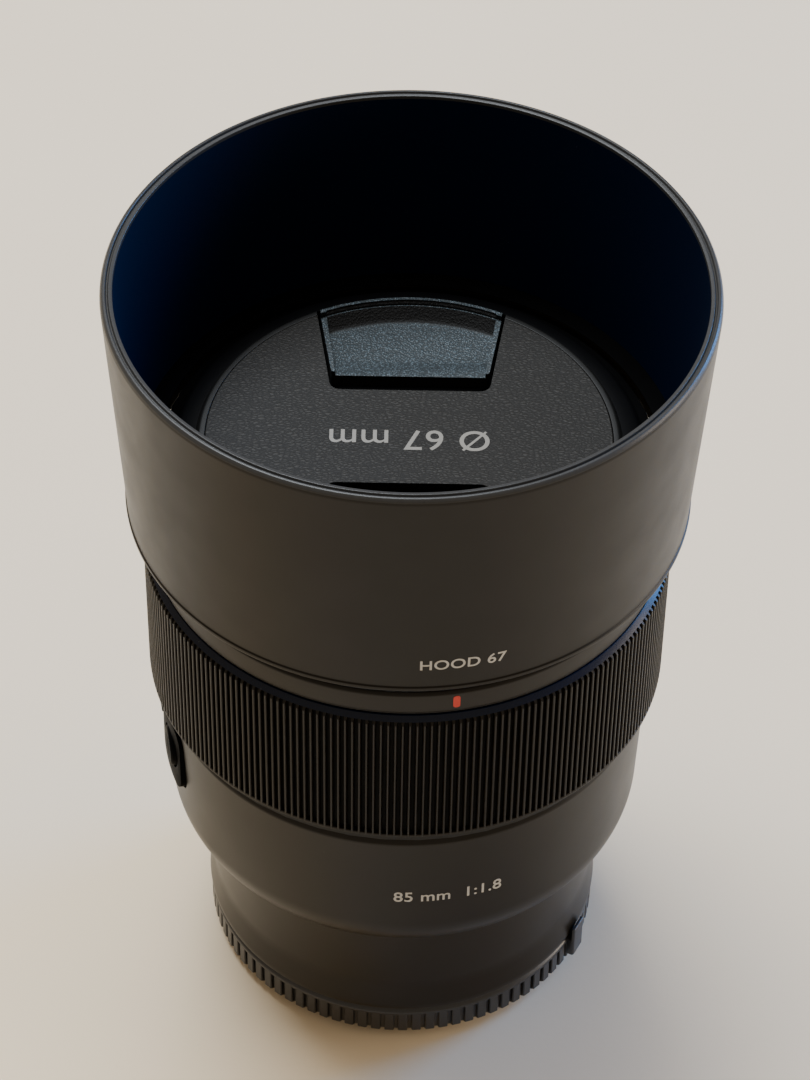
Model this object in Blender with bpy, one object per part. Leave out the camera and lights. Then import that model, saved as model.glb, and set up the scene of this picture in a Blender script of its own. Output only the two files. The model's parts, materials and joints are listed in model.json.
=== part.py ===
"""Prime camera lens that stands on its rear cap, front upwards, with its hood and front cap fitted.

Z is the optical axis, from the rear cap (z = 0) to the hood's mouth. The white and red index marks
face -Y, so the switch panel on the lens's left side faces -X. Radii are measured from the Z axis.
"""

import math

import bmesh
import bpy
from mathutils import Matrix, Vector

MM = 0.001

# Clearances
SEAT_GAP = 0.3 * MM      # between pieces that touch on the real lens
RUN_GAP = 0.4 * MM       # round a piece that turns or slides
CEMENT_GAP = 0.1 * MM    # between the two glasses of the cemented pair

# Facets of round pieces
RING_FACETS = 48
CELL_FACETS = 32
GLASS_FACETS = 24
PIN_FACETS = 12

# Rear cap
REAR_CAP_RADIUS = 30.85 * MM
REAR_CAP_HEIGHT = 7.3 * MM
REAR_CAP_FLOOR = 1.4 * MM
REAR_CAP_FOOT = 0.5 * MM          # depth of the hollow under the cap, inside its standing rim
REAR_CAP_FOOT_RADIUS = 26.3 * MM
REAR_CAP_WALL = 5.2 * MM
REAR_CAP_EDGE = 2.1 * MM          # rounding where the wall meets the table
REAR_CAP_LIP_CHAMFER = 0.65 * MM
REAR_CAP_LUG_DEGREES = 44.0
REAR_CAP_LUG_HEIGHT = 1.5 * MM
REAR_CAP_MARK_DEGREES = 51.9      # from -Y towards +X
REAR_CAP_MARK_WIDTH = 3.4 * MM
REAR_CAP_MARK_RISE = 2.0 * MM     # above the cap's lip
REAR_CAP_MARK_THICKNESS = 0.5 * MM
REAR_CAP_MARK_FOOT = 3.0 * MM      # height of its lower end
REAR_CAP_TWIST_DEGREES = 60.0

# Bayonet mount
BAYONET_PARTS = 3
FLANGE_RADIUS = 29.9 * MM
FLANGE_THICKNESS = 2.0 * MM
MOUNT_TUBE_RADIUS = 21.9 * MM
MOUNT_TUBE_WALL = 1.6 * MM
MOUNT_TUBE_DEPTH = 5.0 * MM
CLAW_REACH = 1.1 * MM
CLAW_THICKNESS = 1.4 * MM
CLAW_DEGREES = 52.0
MOUNT_SCREWS = 4
MOUNT_SCREW_CIRCLE = 26.3 * MM
SCREW_HEAD_RADIUS = 1.5 * MM
SCREW_HEAD_HEIGHT = 0.8 * MM
SCREW_RADIUS = 0.75 * MM
SCREW_LENGTH = 4.2 * MM
CONTACT_BLOCK_DEGREES = 64.0
CONTACT_BLOCK_DEPTH = 2.8 * MM
BAFFLE_THICKNESS = 0.8 * MM
BAFFLE_WINDOW = (30.0 * MM, 20.0 * MM)

# Tail barrel, between the mount and the main barrel
TAIL_RADIUS = 30.4 * MM
TAIL_LENGTH = 19.1 * MM
TAIL_WALL = 2.2 * MM
TAIL_FLARE = 0.65 * MM
TAIL_FLARE_HEIGHT = 4.9 * MM
TAIL_LEDGE = 3.0 * MM
TAIL_SPIGOT = 4.0 * MM

# Main barrel
BARREL_RADIUS = 37.0 * MM
BARREL_TAPER = 0.6 * MM
BARREL_LENGTH = 28.6 * MM
BARREL_WALL = 1.8 * MM
BARREL_EDGE = (0.8 * MM, 1.3 * MM)  # chamfer of the front edge: inwards, down
SHOULDER_RADIUS = 9.7 * MM
SHOULDER_DEGREES = 62.0

# Switch panel, its button and its switch
PANEL_WIDTH = 18.6 * MM
PANEL_HEIGHT = 13.2 * MM
PANEL_CORNER = 3.0 * MM
PANEL_THICKNESS = 2.0 * MM
PANEL_PROUD = 0.4 * MM
PANEL_BELOW_TOP = 2.2 * MM
BUTTON_RADIUS = 3.2 * MM
BUTTON_FLANGE = 0.7 * MM
BUTTON_FLANGE_THICKNESS = 0.8 * MM
BUTTON_OFFSET = 4.3 * MM
BUTTON_TRAVEL = 0.8 * MM
BUTTON_SPRING_RADIUS = 1.6 * MM
BUTTON_SPRING_LENGTH = 1.1 * MM   # with the button pressed
SPRING_WIRE = 0.2 * MM
SWITCH_OFFSET = 4.6 * MM
SWITCH_KNOB = (3.0 * MM, 4.6 * MM)
SWITCH_PROUD = 0.3 * MM
SWITCH_TRAVEL = 3.0 * MM
SWITCH_BOARD = (0.8 * MM, 16.0 * MM, 10.5 * MM)

# Focus ring and what it runs on
FOCUS_RING_PROUD = 2.0 * MM        # beyond the main barrel, to the crests of its ribs
FOCUS_RING_LENGTH = 25.2 * MM
FOCUS_RING_WALL = 1.8 * MM
FOCUS_RING_EDGE = (1.1 * MM, 1.1 * MM)
ENCODER_HEIGHT = 1.5 * MM
ENCODER_WALL = 0.9 * MM
INNER_BARREL_WALL = 1.6 * MM
INNER_SPIGOT = 3.7 * MM
INNER_LEDGE_ABOVE = 10.1 * MM     # front cell's seat, above the main barrel's front edge

# Index ring and front ring
INDEX_RING_PROUD = 1.0 * MM        # beyond the main barrel
INDEX_RING_LENGTH = 4.2 * MM
INDEX_RING_EDGE = 0.4 * MM
INDEX_SPIGOT = 2.3 * MM
FRONT_RING_STEP = 0.8 * MM         # inside the main barrel's radius
FRONT_RING_LENGTH = 9.4 * MM
THREAD_WALL = 2.9 * MM
THREAD_DEPTH = 7.4 * MM
FRONT_STEP = 1.7 * MM              # shelf under the thread
HOOD_LUG_DEGREES = 36.0
FRONT_LUG_REACH = 1.8 * MM
FRONT_LUG_HEIGHT = 1.4 * MM
FRONT_LUG_BELOW_RIM = 2.2 * MM
BEZEL_THICKNESS = 0.9 * MM

# Hood
HOOD_LENGTH = 39.0 * MM
HOOD_FOOT_REACH = 4.8 * MM         # beyond the front ring
HOOD_FLARE = 2.2 * MM              # wider at the mouth than at the foot
HOOD_WALL = 1.8 * MM
HOOD_ABOVE_FRONT_RING_BASE = 3.6 * MM
HOOD_GROOVE = 4.4 * MM
HOOD_LIP = 1.8 * MM
HOOD_LUG_HEIGHT = 1.5 * MM
HOOD_TWIST_DEGREES = 60.0

# Front cap
CAP_TURN_DEGREES = 11.1           # the pinch line stands this far round from the index marks
CAP_SLOPE = 3.8 * MM               # width of the sloping ring round the face
CAP_OVERLAP = 1.1 * MM             # how far the cap covers the front ring's rim
CAP_RISE = 3.5 * MM               # face above the seat on the front ring
CAP_PLATE = 1.4 * MM
CAP_RIM = 1.3 * MM
CAP_SKIRT_GAP = 0.6 * MM
CAP_SKIRT_WALL = 1.4 * MM
CAP_SKIRT_DEPTH = 3.1 * MM
GRIP_INNER_EDGE = 9.7 * MM
GRIP_HALF_WIDTH_IN = 11.6 * MM
GRIP_HALF_WIDTH_OUT = 14.2 * MM
LATCH_INNER_EDGE = 14.6 * MM
LATCH_TRAVEL = 2.4 * MM
LATCH_FLOOR = 3.0 * MM            # depth of the finger floor under the cap's face
LATCH_TIP = (16.0 * MM, 1.5 * MM)
LATCH_TONGUE_LENGTH = 5.2 * MM    # reaches in under the cap's face, as far as the springs
LATCH_TONGUE_THICKNESS = 1.8 * MM
CAP_SPRING_RADIUS = 0.8 * MM
CAP_SPRING_OFFSET = 7.5 * MM
CAP_BACK_THICKNESS = 0.7 * MM

# Glasses: edge radius, edge thickness, bulge of the front face, bulge of the rear face
GLASSES = {
    "lens_element_1": (27.4 * MM, 4.5 * MM, 3.2 * MM, -1.5 * MM),
    "lens_element_2": (25.0 * MM, 4.7 * MM, 3.0 * MM, -1.2 * MM),
    "lens_element_3": (22.6 * MM, 3.1 * MM, 2.5 * MM, 1.6 * MM),
    "lens_element_4": (22.6 * MM, 3.4 * MM, -1.6 * MM, -0.8 * MM),
    "lens_element_5": (17.5 * MM, 3.0 * MM, -1.0 * MM, -0.8 * MM),
    "lens_element_6": (20.5 * MM, 2.8 * MM, 2.2 * MM, -0.8 * MM),
    "lens_element_7": (19.5 * MM, 2.7 * MM, 1.8 * MM, 1.2 * MM),
    "lens_element_8": (18.5 * MM, 1.5 * MM, -0.8 * MM, 0.7 * MM),
    "lens_element_9": (17.5 * MM, 2.2 * MM, 1.2 * MM, -0.6 * MM),
}
GLASS_LIP = 1.5 * MM              # how far a cell's last lip covers the glass that rests on it

# Cells
FRONT_CELL_WALL = 3.5 * MM
FRONT_CELL_TOP_BORE = 6.3 * MM
FRONT_CELL_MIDDLE_BORE = 8.5 * MM
FRONT_CELL_FOOT = 4.3 * MM        # below the seat flange
FRONT_CELL_FLANGE = 2.0 * MM
REAR_CELL_RADIUS = 24.2 * MM
REAR_CELL_FLANGE = 2.0 * MM
REAR_CELL_HEAD_RADIUS = 31.0 * MM
REAR_CELL_HEAD = 1.7 * MM
REAR_CELL_LIP = 1.3 * MM
REAR_BORE_STEPS = (5.0 * MM, 5.0 * MM, 5.5 * MM)
BOARD_THICKNESS = 1.0 * MM

# Focus carriage, its rods and its two linear motors
CARRIAGE_RADIUS = 24.2 * MM
CARRIAGE_HEIGHT = 6.0 * MM
CARRIAGE_LIP = 0.7 * MM
CARRIAGE_STAND = 2.5 * MM         # above the rear cell's head, at the rear end of the travel
FOCUS_TRAVEL = 6.0 * MM
ROD_RADIUS = 1.0 * MM
ROD_CIRCLE = 27.5 * MM
EYE_WIDTH = 5.0 * MM
EYE_HEIGHT = 4.0 * MM
EYE_REACH = 1.8 * MM
MOTOR_LENGTH = 17.0 * MM
YOKE_PLATE = 1.5 * MM
YOKE_WIDTH = 12.0 * MM
YOKE_LEG_WIDTH = 8.0 * MM
YOKE_LEG_RADIUS = 26.0 * MM       # inner face of the leg inside the coil
YOKE_OPENING = 2.5 * MM
COIL_WALL = 1.0 * MM
COIL_HEIGHT = 4.0 * MM

# Iris
IRIS_BLADES = 9
IRIS_OPEN_RADIUS = 18.5 * MM
IRIS_BASE_THICKNESS = 1.0 * MM
IRIS_RIM_RADIUS = 31.0 * MM
IRIS_RIM_WALL = 0.8 * MM
IRIS_RING_THICKNESS = 0.8 * MM
BLADE_THICKNESS = 0.15 * MM
BLADE_PITCH = 0.45 * MM
BLADE_PIVOT_RADIUS = 26.5 * MM
BLADE_OUTER_RADIUS = 28.9 * MM
BLADE_INNER_RADIUS = 20.2 * MM
BLADE_DEGREES = 66.0
IRIS_MOTOR_RADIUS = 3.4 * MM
IRIS_MOTOR_LENGTH = 11.0 * MM
IRIS_MOTOR_CIRCLE = 28.6 * MM
IRIS_MOTOR_DEGREES = 45.0

# Levels up the axis, each from the one below it
MOUNT_FACE_Z = REAR_CAP_HEIGHT + SEAT_GAP
FLANGE_TOP_Z = MOUNT_FACE_Z + FLANGE_THICKNESS
TAIL_BOTTOM_Z = MOUNT_FACE_Z + SEAT_GAP
TAIL_LEDGE_Z = FLANGE_TOP_Z + SEAT_GAP
TAIL_TOP_Z = TAIL_BOTTOM_Z + TAIL_LENGTH
BARREL_BOTTOM_Z = TAIL_TOP_Z + SEAT_GAP
BARREL_TOP_Z = BARREL_BOTTOM_Z + BARREL_LENGTH
ENCODER_Z = BARREL_TOP_Z + 3 * RUN_GAP
FOCUS_RING_Z = ENCODER_Z + ENCODER_HEIGHT + SEAT_GAP
FOCUS_RING_TOP_Z = FOCUS_RING_Z + FOCUS_RING_LENGTH
INDEX_RING_Z = FOCUS_RING_TOP_Z + SEAT_GAP
FRONT_RING_Z = INDEX_RING_Z + INDEX_RING_LENGTH + SEAT_GAP
FRONT_RIM_Z = FRONT_RING_Z + FRONT_RING_LENGTH
HOOD_Z = FRONT_RING_Z + HOOD_ABOVE_FRONT_RING_BASE
HOOD_RIM_Z = HOOD_Z + HOOD_LENGTH
CAP_SEAT_Z = FRONT_RIM_Z + SEAT_GAP
CAP_FACE_Z = CAP_SEAT_Z + CAP_RISE
INNER_BARREL_Z = BARREL_TOP_Z + SEAT_GAP
FRONT_CELL_SEAT_Z = BARREL_TOP_Z + INNER_LEDGE_ABOVE
IRIS_BASE_Z = BARREL_TOP_Z - 2.9 * MM
REAR_HEAD_TOP_Z = IRIS_BASE_Z - MOTOR_LENGTH - 4 * SEAT_GAP - SEAT_GAP
REAR_HEAD_Z = REAR_HEAD_TOP_Z - REAR_CELL_HEAD
CARRIAGE_Z = REAR_HEAD_TOP_Z + CARRIAGE_STAND

# Radii that follow from the ones above
BARREL_BORE = BARREL_RADIUS - BARREL_WALL
TAIL_BORE = TAIL_RADIUS - TAIL_WALL
SHOULDER_FOOT_RADIUS = (BARREL_RADIUS - BARREL_TAPER
                        - SHOULDER_RADIUS * (1 - math.cos(math.radians(SHOULDER_DEGREES))))
FOCUS_RING_RADIUS = BARREL_RADIUS + FOCUS_RING_PROUD
INDEX_RING_RADIUS = BARREL_RADIUS + INDEX_RING_PROUD
FRONT_RING_RADIUS = BARREL_RADIUS - FRONT_RING_STEP
THREAD_RADIUS = FRONT_RING_RADIUS - THREAD_WALL
FRONT_STEP_RADIUS = THREAD_RADIUS - FRONT_STEP
HOOD_FOOT_RADIUS = FRONT_RING_RADIUS + HOOD_FOOT_REACH
HOOD_MOUTH_RADIUS = HOOD_FOOT_RADIUS + HOOD_FLARE
CAP_RADIUS = THREAD_RADIUS + CAP_OVERLAP
CAP_FACE_RADIUS = CAP_RADIUS - CAP_SLOPE
FOCUS_RING_BORE = FOCUS_RING_RADIUS - FOCUS_RING_WALL
INNER_BARREL_RADIUS = FOCUS_RING_BORE - RUN_GAP
INNER_BARREL_BORE = INNER_BARREL_RADIUS - INNER_BARREL_WALL
SPIGOT_RADIUS = BARREL_BORE - SEAT_GAP
SPIGOT_BORE = SPIGOT_RADIUS - INNER_BARREL_WALL + 0.1 * MM
HOOD_GROOVE_RADIUS = FRONT_RING_RADIUS + FRONT_LUG_REACH + RUN_GAP
HOOD_LIP_RADIUS = FRONT_RING_RADIUS + RUN_GAP
MOUNT_TUBE_BORE = MOUNT_TUBE_RADIUS - MOUNT_TUBE_WALL
PANEL_RADIUS = BARREL_RADIUS + PANEL_PROUD
PANEL_MIDDLE_Z = BARREL_TOP_Z - PANEL_BELOW_TOP - PANEL_HEIGHT / 2
BUTTON_SEAT_X = -(PANEL_RADIUS - PANEL_THICKNESS - 1.4 * MM)
SWITCH_BOARD_X = (BUTTON_SEAT_X + BUTTON_FLANGE_THICKNESS + BUTTON_TRAVEL + BUTTON_SPRING_LENGTH
                  + 2 * SEAT_GAP)


def finish(name, color, roughness, metallic=0.0, alpha=1.0):
    """A material with the piece's colour, roughness and metallic value."""
    material = bpy.data.materials.get(name)
    if material is None:
        material = bpy.data.materials.new(name)
        material.use_nodes = True
        shader = material.node_tree.nodes["Principled BSDF"]
        shader.inputs["Base Color"].default_value = (*color, 1.0)
        shader.inputs["Roughness"].default_value = roughness
        shader.inputs["Metallic"].default_value = metallic
        shader.inputs["Alpha"].default_value = alpha
    return material


def satin_black(name):
    return finish(name, (0.022, 0.019, 0.016), 0.42)


def matte_black(name):
    return finish(name, (0.012, 0.012, 0.012), 0.8)


def steel(name):
    return finish(name, (0.62, 0.61, 0.59), 0.3, 1.0)


def glass(name):
    return finish(name, (0.75, 0.85, 0.88), 0.03, 0.0, 0.35)


def new_object(name, mesh):
    obj = bpy.data.objects.new(name, mesh)
    bpy.context.scene.collection.objects.link(obj)
    return obj


def mesh_from(name, bm):
    """Turns a bmesh into a mesh whose faces point outwards."""
    bmesh.ops.recalc_face_normals(bm, faces=bm.faces[:])
    mesh = bpy.data.meshes.new(name)
    bm.to_mesh(mesh)
    bm.free()
    return mesh


def baked(obj):
    """Replaces an object's mesh by its evaluated one and clears its modifiers."""
    bpy.context.view_layer.update()
    result = obj.evaluated_get(bpy.context.evaluated_depsgraph_get())
    mesh = bpy.data.meshes.new_from_object(result)
    obj.modifiers.clear()
    obj.data = mesh
    return obj


def turned(name, profile, facets=RING_FACETS, phase=0.0):
    """Spins an outline of (radius, z) points about Z.

    The outline runs down its outer side. It is closed, unless it starts and ends on the axis.
    """
    on_axis = profile[0][0] == 0 and profile[-1][0] == 0
    turn = Matrix.Rotation(phase, 3, "Z")
    mesh = bpy.data.meshes.new(name)
    edges = [(i, i + 1) for i in range(len(profile) - 1)]
    if not on_axis:
        edges.append((len(profile) - 1, 0))
    mesh.from_pydata([turn @ Vector((r, 0, z)) for r, z in profile], edges, [])
    obj = new_object(name, mesh)
    screw = obj.modifiers.new("turn", "SCREW")
    screw.axis = "Z"
    screw.steps = screw.render_steps = facets
    screw.use_merge_vertices = True
    screw.merge_threshold = 0.00001
    return baked(obj)


def ring(name, outer, inner, low, high, facets=RING_FACETS):
    """A plain flat ring."""
    return turned(name, [(outer, high), (outer, low), (inner, low), (inner, high)], facets)


def pin(name, radius, low, high, facets=PIN_FACETS):
    """A plain round bar along Z."""
    return turned(name, [(0, high), (radius, high), (radius, low), (0, low)], facets)


def prism(name, outline, depth):
    """A solid with an outline of (x, y) points and a height along +Z."""
    bm = bmesh.new()
    face = bm.faces.new([bm.verts.new((x, y, 0)) for x, y in outline])
    raised = bmesh.ops.extrude_face_region(bm, geom=[face])
    top = [v for v in raised["geom"] if isinstance(v, bmesh.types.BMVert)]
    bmesh.ops.translate(bm, verts=top, vec=(0, 0, depth))
    return new_object(name, mesh_from(name, bm))


def box(name, low, high):
    """A solid block between two corners."""
    outline = [(low[0], low[1]), (high[0], low[1]), (high[0], high[1]), (low[0], high[1])]
    block = prism(name, outline, high[2] - low[2])
    return moved(block, Matrix.Translation((0, 0, low[2])))


def arc(radius, start, end, steps):
    """Points on a circle, from one angle in degrees to another."""
    angles = [math.radians(start + (end - start) * i / steps) for i in range(steps + 1)]
    return [(radius * math.cos(a), radius * math.sin(a)) for a in angles]


def sector(name, inner, outer, low, high, middle, width, steps=4):
    """A piece of a flat ring. Angles are in degrees from +X."""
    start, end = middle - width / 2, middle + width / 2
    outline = arc(outer, start, end, steps) + arc(inner, end, start, steps)
    return moved(prism(name, outline, high - low), Matrix.Translation((0, 0, low)))


def rounded_rectangle(width, height, corner, steps=3):
    """Points round a rectangle with round corners, centred on the origin."""
    points = []
    for quarter, (sx, sy) in enumerate([(1, 1), (-1, 1), (-1, -1), (1, -1)]):
        middle = Vector((sx * (width / 2 - corner), sy * (height / 2 - corner)))
        points += [tuple(middle + Vector(p))
                   for p in arc(corner, 90 * quarter, 90 * quarter + 90, steps)]
    return points


def moved(obj, matrix):
    """Moves an object's mesh, and leaves its origin where it is."""
    obj.data.transform(matrix)
    return obj


def facing_left(x_far, y, z):
    """Lays a solid built along +Z down so that it runs from x_far towards +X, at the given y and z."""
    return Matrix.Translation((x_far, y, z)) @ Matrix.Rotation(math.radians(90), 4, "Y") @ \
        Matrix.Rotation(math.radians(90), 4, "Z")


def combined(target, tool, operation):
    """Joins, cuts or intersects a solid with a tool solid, which is used up."""
    boolean = target.modifiers.new("combine", "BOOLEAN")
    boolean.operation = operation
    boolean.object = tool
    baked(target)
    bpy.data.objects.remove(tool)
    return target


def joined(target, tool):
    return combined(target, tool, "UNION")


def cut(target, tool):
    return combined(target, tool, "DIFFERENCE")


def done(obj, material, parent=None):
    """Gives a finished piece its material, smooth shading and parent."""
    obj.data.materials.clear()
    obj.data.materials.append(material)
    obj.data.shade_smooth()
    obj.data.set_sharp_from_angle(angle=math.radians(30))
    obj.parent = parent
    return obj


def empty(name, location, turn_degrees=0.0):
    obj = new_object(name, None)
    obj.location = location
    obj.rotation_euler.z = math.radians(turn_degrees)
    return obj


def bayonet_angles(middle):
    return [middle + 360 / BAYONET_PARTS * i for i in range(BAYONET_PARTS)]


def coil_spring(name, radius, wire, length, turns):
    """A coil spring along +Z from the origin, as a round wire with closed ends."""
    points_a_turn, sides = 8, 4
    count = int(turns * points_a_turn)
    bm = bmesh.new()
    loops = []
    for i in range(count + 1):
        angle = 2 * math.pi * i / points_a_turn
        middle = Vector((radius * math.cos(angle), radius * math.sin(angle),
                         wire + (length - 2 * wire) * i / count))
        outwards = Vector((math.cos(angle), math.sin(angle), 0))
        loops.append([bm.verts.new(middle + wire * (outwards * math.cos(turn) + Vector((0, 0, math.sin(turn)))))
                      for turn in (2 * math.pi * (s + 0.5) / sides for s in range(sides))])
    for near, far in zip(loops, loops[1:]):
        for s in range(sides):
            bm.faces.new((near[s], near[(s + 1) % sides], far[(s + 1) % sides], far[s]))
    bm.faces.new(loops[0])
    bm.faces.new(loops[-1])
    return new_object(name, mesh_from(name, bm))


# ---------------------------------------------------------------- mount end

def rear_cap():
    floor = REAR_CAP_FOOT + REAR_CAP_FLOOR
    inner = REAR_CAP_RADIUS - REAR_CAP_WALL
    cap = turned("rear_cap", [
        (0, floor), (inner, floor), (inner, REAR_CAP_HEIGHT),
        (REAR_CAP_RADIUS - REAR_CAP_LIP_CHAMFER, REAR_CAP_HEIGHT),
        (REAR_CAP_RADIUS, REAR_CAP_HEIGHT - REAR_CAP_LIP_CHAMFER),
        (REAR_CAP_RADIUS, REAR_CAP_EDGE), (REAR_CAP_RADIUS - REAR_CAP_EDGE, 0),
        (REAR_CAP_FOOT_RADIUS, 0), (REAR_CAP_FOOT_RADIUS - REAR_CAP_FOOT, REAR_CAP_FOOT),
        (0, REAR_CAP_FOOT)])
    claw_top = MOUNT_FACE_Z - MOUNT_TUBE_DEPTH + SEAT_GAP + CLAW_THICKNESS
    lug_low = claw_top + 2 * SEAT_GAP
    for angle in bayonet_angles(90):
        joined(cap, sector("lug", MOUNT_TUBE_RADIUS + RUN_GAP, inner + 1 * MM,
                           lug_low, lug_low + REAR_CAP_LUG_HEIGHT, angle, REAR_CAP_LUG_DEGREES))
    degrees = REAR_CAP_MARK_WIDTH / REAR_CAP_RADIUS * 180 / math.pi
    middle = REAR_CAP_MARK_DEGREES - 90
    clear = TAIL_RADIUS + TAIL_FLARE + RUN_GAP
    face = clear + REAR_CAP_MARK_THICKNESS
    joined(cap, sector("mark", REAR_CAP_RADIUS - 1 * MM, face, REAR_CAP_MARK_FOOT,
                       REAR_CAP_HEIGHT - REAR_CAP_LIP_CHAMFER, middle, degrees, 1))
    joined(cap, sector("mark_top", clear, face, REAR_CAP_MARK_FOOT + 0.6 * MM,
                       REAR_CAP_HEIGHT + REAR_CAP_MARK_RISE, middle, degrees * 0.98, 1))
    return done(cap, satin_black("rear_cap"))


def mount_screw_places():
    return [45 + 360 / MOUNT_SCREWS * i for i in range(MOUNT_SCREWS)]


def mount_flange():
    tube_bottom = MOUNT_FACE_Z - MOUNT_TUBE_DEPTH
    flange = turned("mount_flange", [
        (FLANGE_RADIUS, FLANGE_TOP_Z), (FLANGE_RADIUS, MOUNT_FACE_Z),
        (MOUNT_TUBE_RADIUS, MOUNT_FACE_Z), (MOUNT_TUBE_RADIUS, tube_bottom),
        (MOUNT_TUBE_BORE, tube_bottom), (MOUNT_TUBE_BORE, FLANGE_TOP_Z)])
    claw_low = tube_bottom + SEAT_GAP
    for angle in bayonet_angles(90):
        joined(flange, sector("claw", MOUNT_TUBE_RADIUS - 0.8 * MM, MOUNT_TUBE_RADIUS + CLAW_REACH,
                              claw_low, claw_low + CLAW_THICKNESS, angle, CLAW_DEGREES))
    for angle in mount_screw_places():
        place = Matrix.Rotation(math.radians(angle), 4, "Z") @ Matrix.Translation((MOUNT_SCREW_CIRCLE, 0, 0))
        head_depth = SCREW_HEAD_HEIGHT + 2 * SEAT_GAP
        hole = turned("hole", [
            (0, FLANGE_TOP_Z + 1 * MM), (SCREW_RADIUS + SEAT_GAP, FLANGE_TOP_Z + 1 * MM),
            (SCREW_RADIUS + SEAT_GAP, MOUNT_FACE_Z + head_depth),
            (SCREW_HEAD_RADIUS + SEAT_GAP, MOUNT_FACE_Z + head_depth),
            (SCREW_HEAD_RADIUS + SEAT_GAP, MOUNT_FACE_Z - 1 * MM), (0, MOUNT_FACE_Z - 1 * MM)], PIN_FACETS)
        cut(flange, moved(hole, place))
    return done(flange, steel("mount_metal"))


def mount_screws():
    head_low = SEAT_GAP / 2
    for i, angle in enumerate(mount_screw_places()):
        screw = turned(f"mount_screw_{i + 1}", [
            (0, SCREW_LENGTH), (SCREW_RADIUS, SCREW_LENGTH),
            (SCREW_RADIUS, head_low + SCREW_HEAD_HEIGHT), (SCREW_HEAD_RADIUS, head_low + SCREW_HEAD_HEIGHT),
            (SCREW_HEAD_RADIUS, head_low), (0, head_low)], PIN_FACETS)
        turn = math.radians(angle)
        screw.location = (MOUNT_SCREW_CIRCLE * math.cos(turn), MOUNT_SCREW_CIRCLE * math.sin(turn),
                          MOUNT_FACE_Z)
        screw.rotation_euler.z = turn
        done(screw, steel("screw_steel"))


def contact_block():
    outer = MOUNT_TUBE_BORE - SEAT_GAP
    low = MOUNT_FACE_Z - MOUNT_TUBE_DEPTH + SEAT_GAP
    block = sector("contact_block", outer - CONTACT_BLOCK_DEPTH, outer, low,
                   FLANGE_TOP_Z - BAFFLE_THICKNESS - 3 * SEAT_GAP, 90, CONTACT_BLOCK_DEGREES, 6)
    return done(block, matte_black("contact_plastic"))


def rear_baffle():
    high = FLANGE_TOP_Z - SEAT_GAP
    baffle = pin("rear_baffle", MOUNT_TUBE_BORE - SEAT_GAP, high - BAFFLE_THICKNESS, high, CELL_FACETS)
    x, y = BAFFLE_WINDOW[0] / 2, BAFFLE_WINDOW[1] / 2
    cut(baffle, box("window", (-x, -y, 0), (x, y, high + 1 * MM)))
    return done(baffle, matte_black("baffle_black"))


def tail_barrel():
    counterbore = FLANGE_RADIUS + SEAT_GAP
    ledge_top = TAIL_LEDGE_Z + TAIL_LEDGE
    ledge_bore = REAR_CELL_RADIUS + RUN_GAP
    spigot = SHOULDER_FOOT_RADIUS - TAIL_WALL + 0.45 * MM
    flare_top = TAIL_BOTTOM_Z + TAIL_FLARE_HEIGHT
    foot = TAIL_RADIUS + TAIL_FLARE
    tail = turned("tail_barrel", [
        (spigot, TAIL_TOP_Z + TAIL_SPIGOT), (spigot, TAIL_TOP_Z), (TAIL_RADIUS, TAIL_TOP_Z),
        (TAIL_RADIUS, flare_top), (TAIL_RADIUS + TAIL_FLARE / 3, TAIL_BOTTOM_Z + TAIL_FLARE_HEIGHT / 2),
        (foot, TAIL_BOTTOM_Z + TAIL_FLARE), (foot, TAIL_BOTTOM_Z), (counterbore, TAIL_BOTTOM_Z),
        (counterbore, TAIL_LEDGE_Z), (ledge_bore, TAIL_LEDGE_Z), (ledge_bore, ledge_top),
        (TAIL_BORE, ledge_top), (TAIL_BORE, TAIL_TOP_Z + TAIL_SPIGOT)])
    for angle in mount_screw_places():
        place = Matrix.Rotation(math.radians(angle), 4, "Z") @ Matrix.Translation((MOUNT_SCREW_CIRCLE, 0, 0))
        hole = pin("hole", SCREW_RADIUS + SEAT_GAP, TAIL_LEDGE_Z - 1 * MM, ledge_top + 1 * MM)
        cut(tail, moved(hole, place))
    return done(tail, satin_black("barrel_black"))


# ---------------------------------------------------------------- main barrel and its switch panel

def panel_block(name, shrink, x_far, depth):
    """A block along X with the outline of the switch panel, smaller by a gap all round."""
    outline = rounded_rectangle(PANEL_WIDTH - 2 * shrink, PANEL_HEIGHT - 2 * shrink, PANEL_CORNER - shrink)
    return moved(prism(name, outline, depth), facing_left(x_far, 0, PANEL_MIDDLE_Z))


def main_barrel():
    waist = BARREL_RADIUS - BARREL_TAPER
    sweep = math.sin(math.radians(SHOULDER_DEGREES)) * SHOULDER_RADIUS
    shoulder_z = BARREL_BOTTOM_Z + sweep
    steps = 5
    shoulder = []
    for i in range(steps + 1):
        turn = math.radians(SHOULDER_DEGREES * i / steps)
        shoulder.append((waist - SHOULDER_RADIUS * (1 - math.cos(turn)),
                         shoulder_z - SHOULDER_RADIUS * math.sin(turn)))
    foot_bore = SHOULDER_FOOT_RADIUS - TAIL_WALL + 0.45 * MM + SEAT_GAP
    barrel = turned("main_barrel", [
        (BARREL_RADIUS - BARREL_EDGE[0], BARREL_TOP_Z), (BARREL_RADIUS, BARREL_TOP_Z - BARREL_EDGE[1]),
        *shoulder, (foot_bore, BARREL_BOTTOM_Z), (foot_bore, BARREL_BOTTOM_Z + BARREL_WALL),
        (waist - BARREL_WALL, shoulder_z + BARREL_WALL), (BARREL_BORE, BARREL_TOP_Z)])
    cut(barrel, panel_block("window", 0, -BARREL_RADIUS - 1 * MM, 6 * MM))
    return done(barrel, satin_black("barrel_black"))


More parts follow.
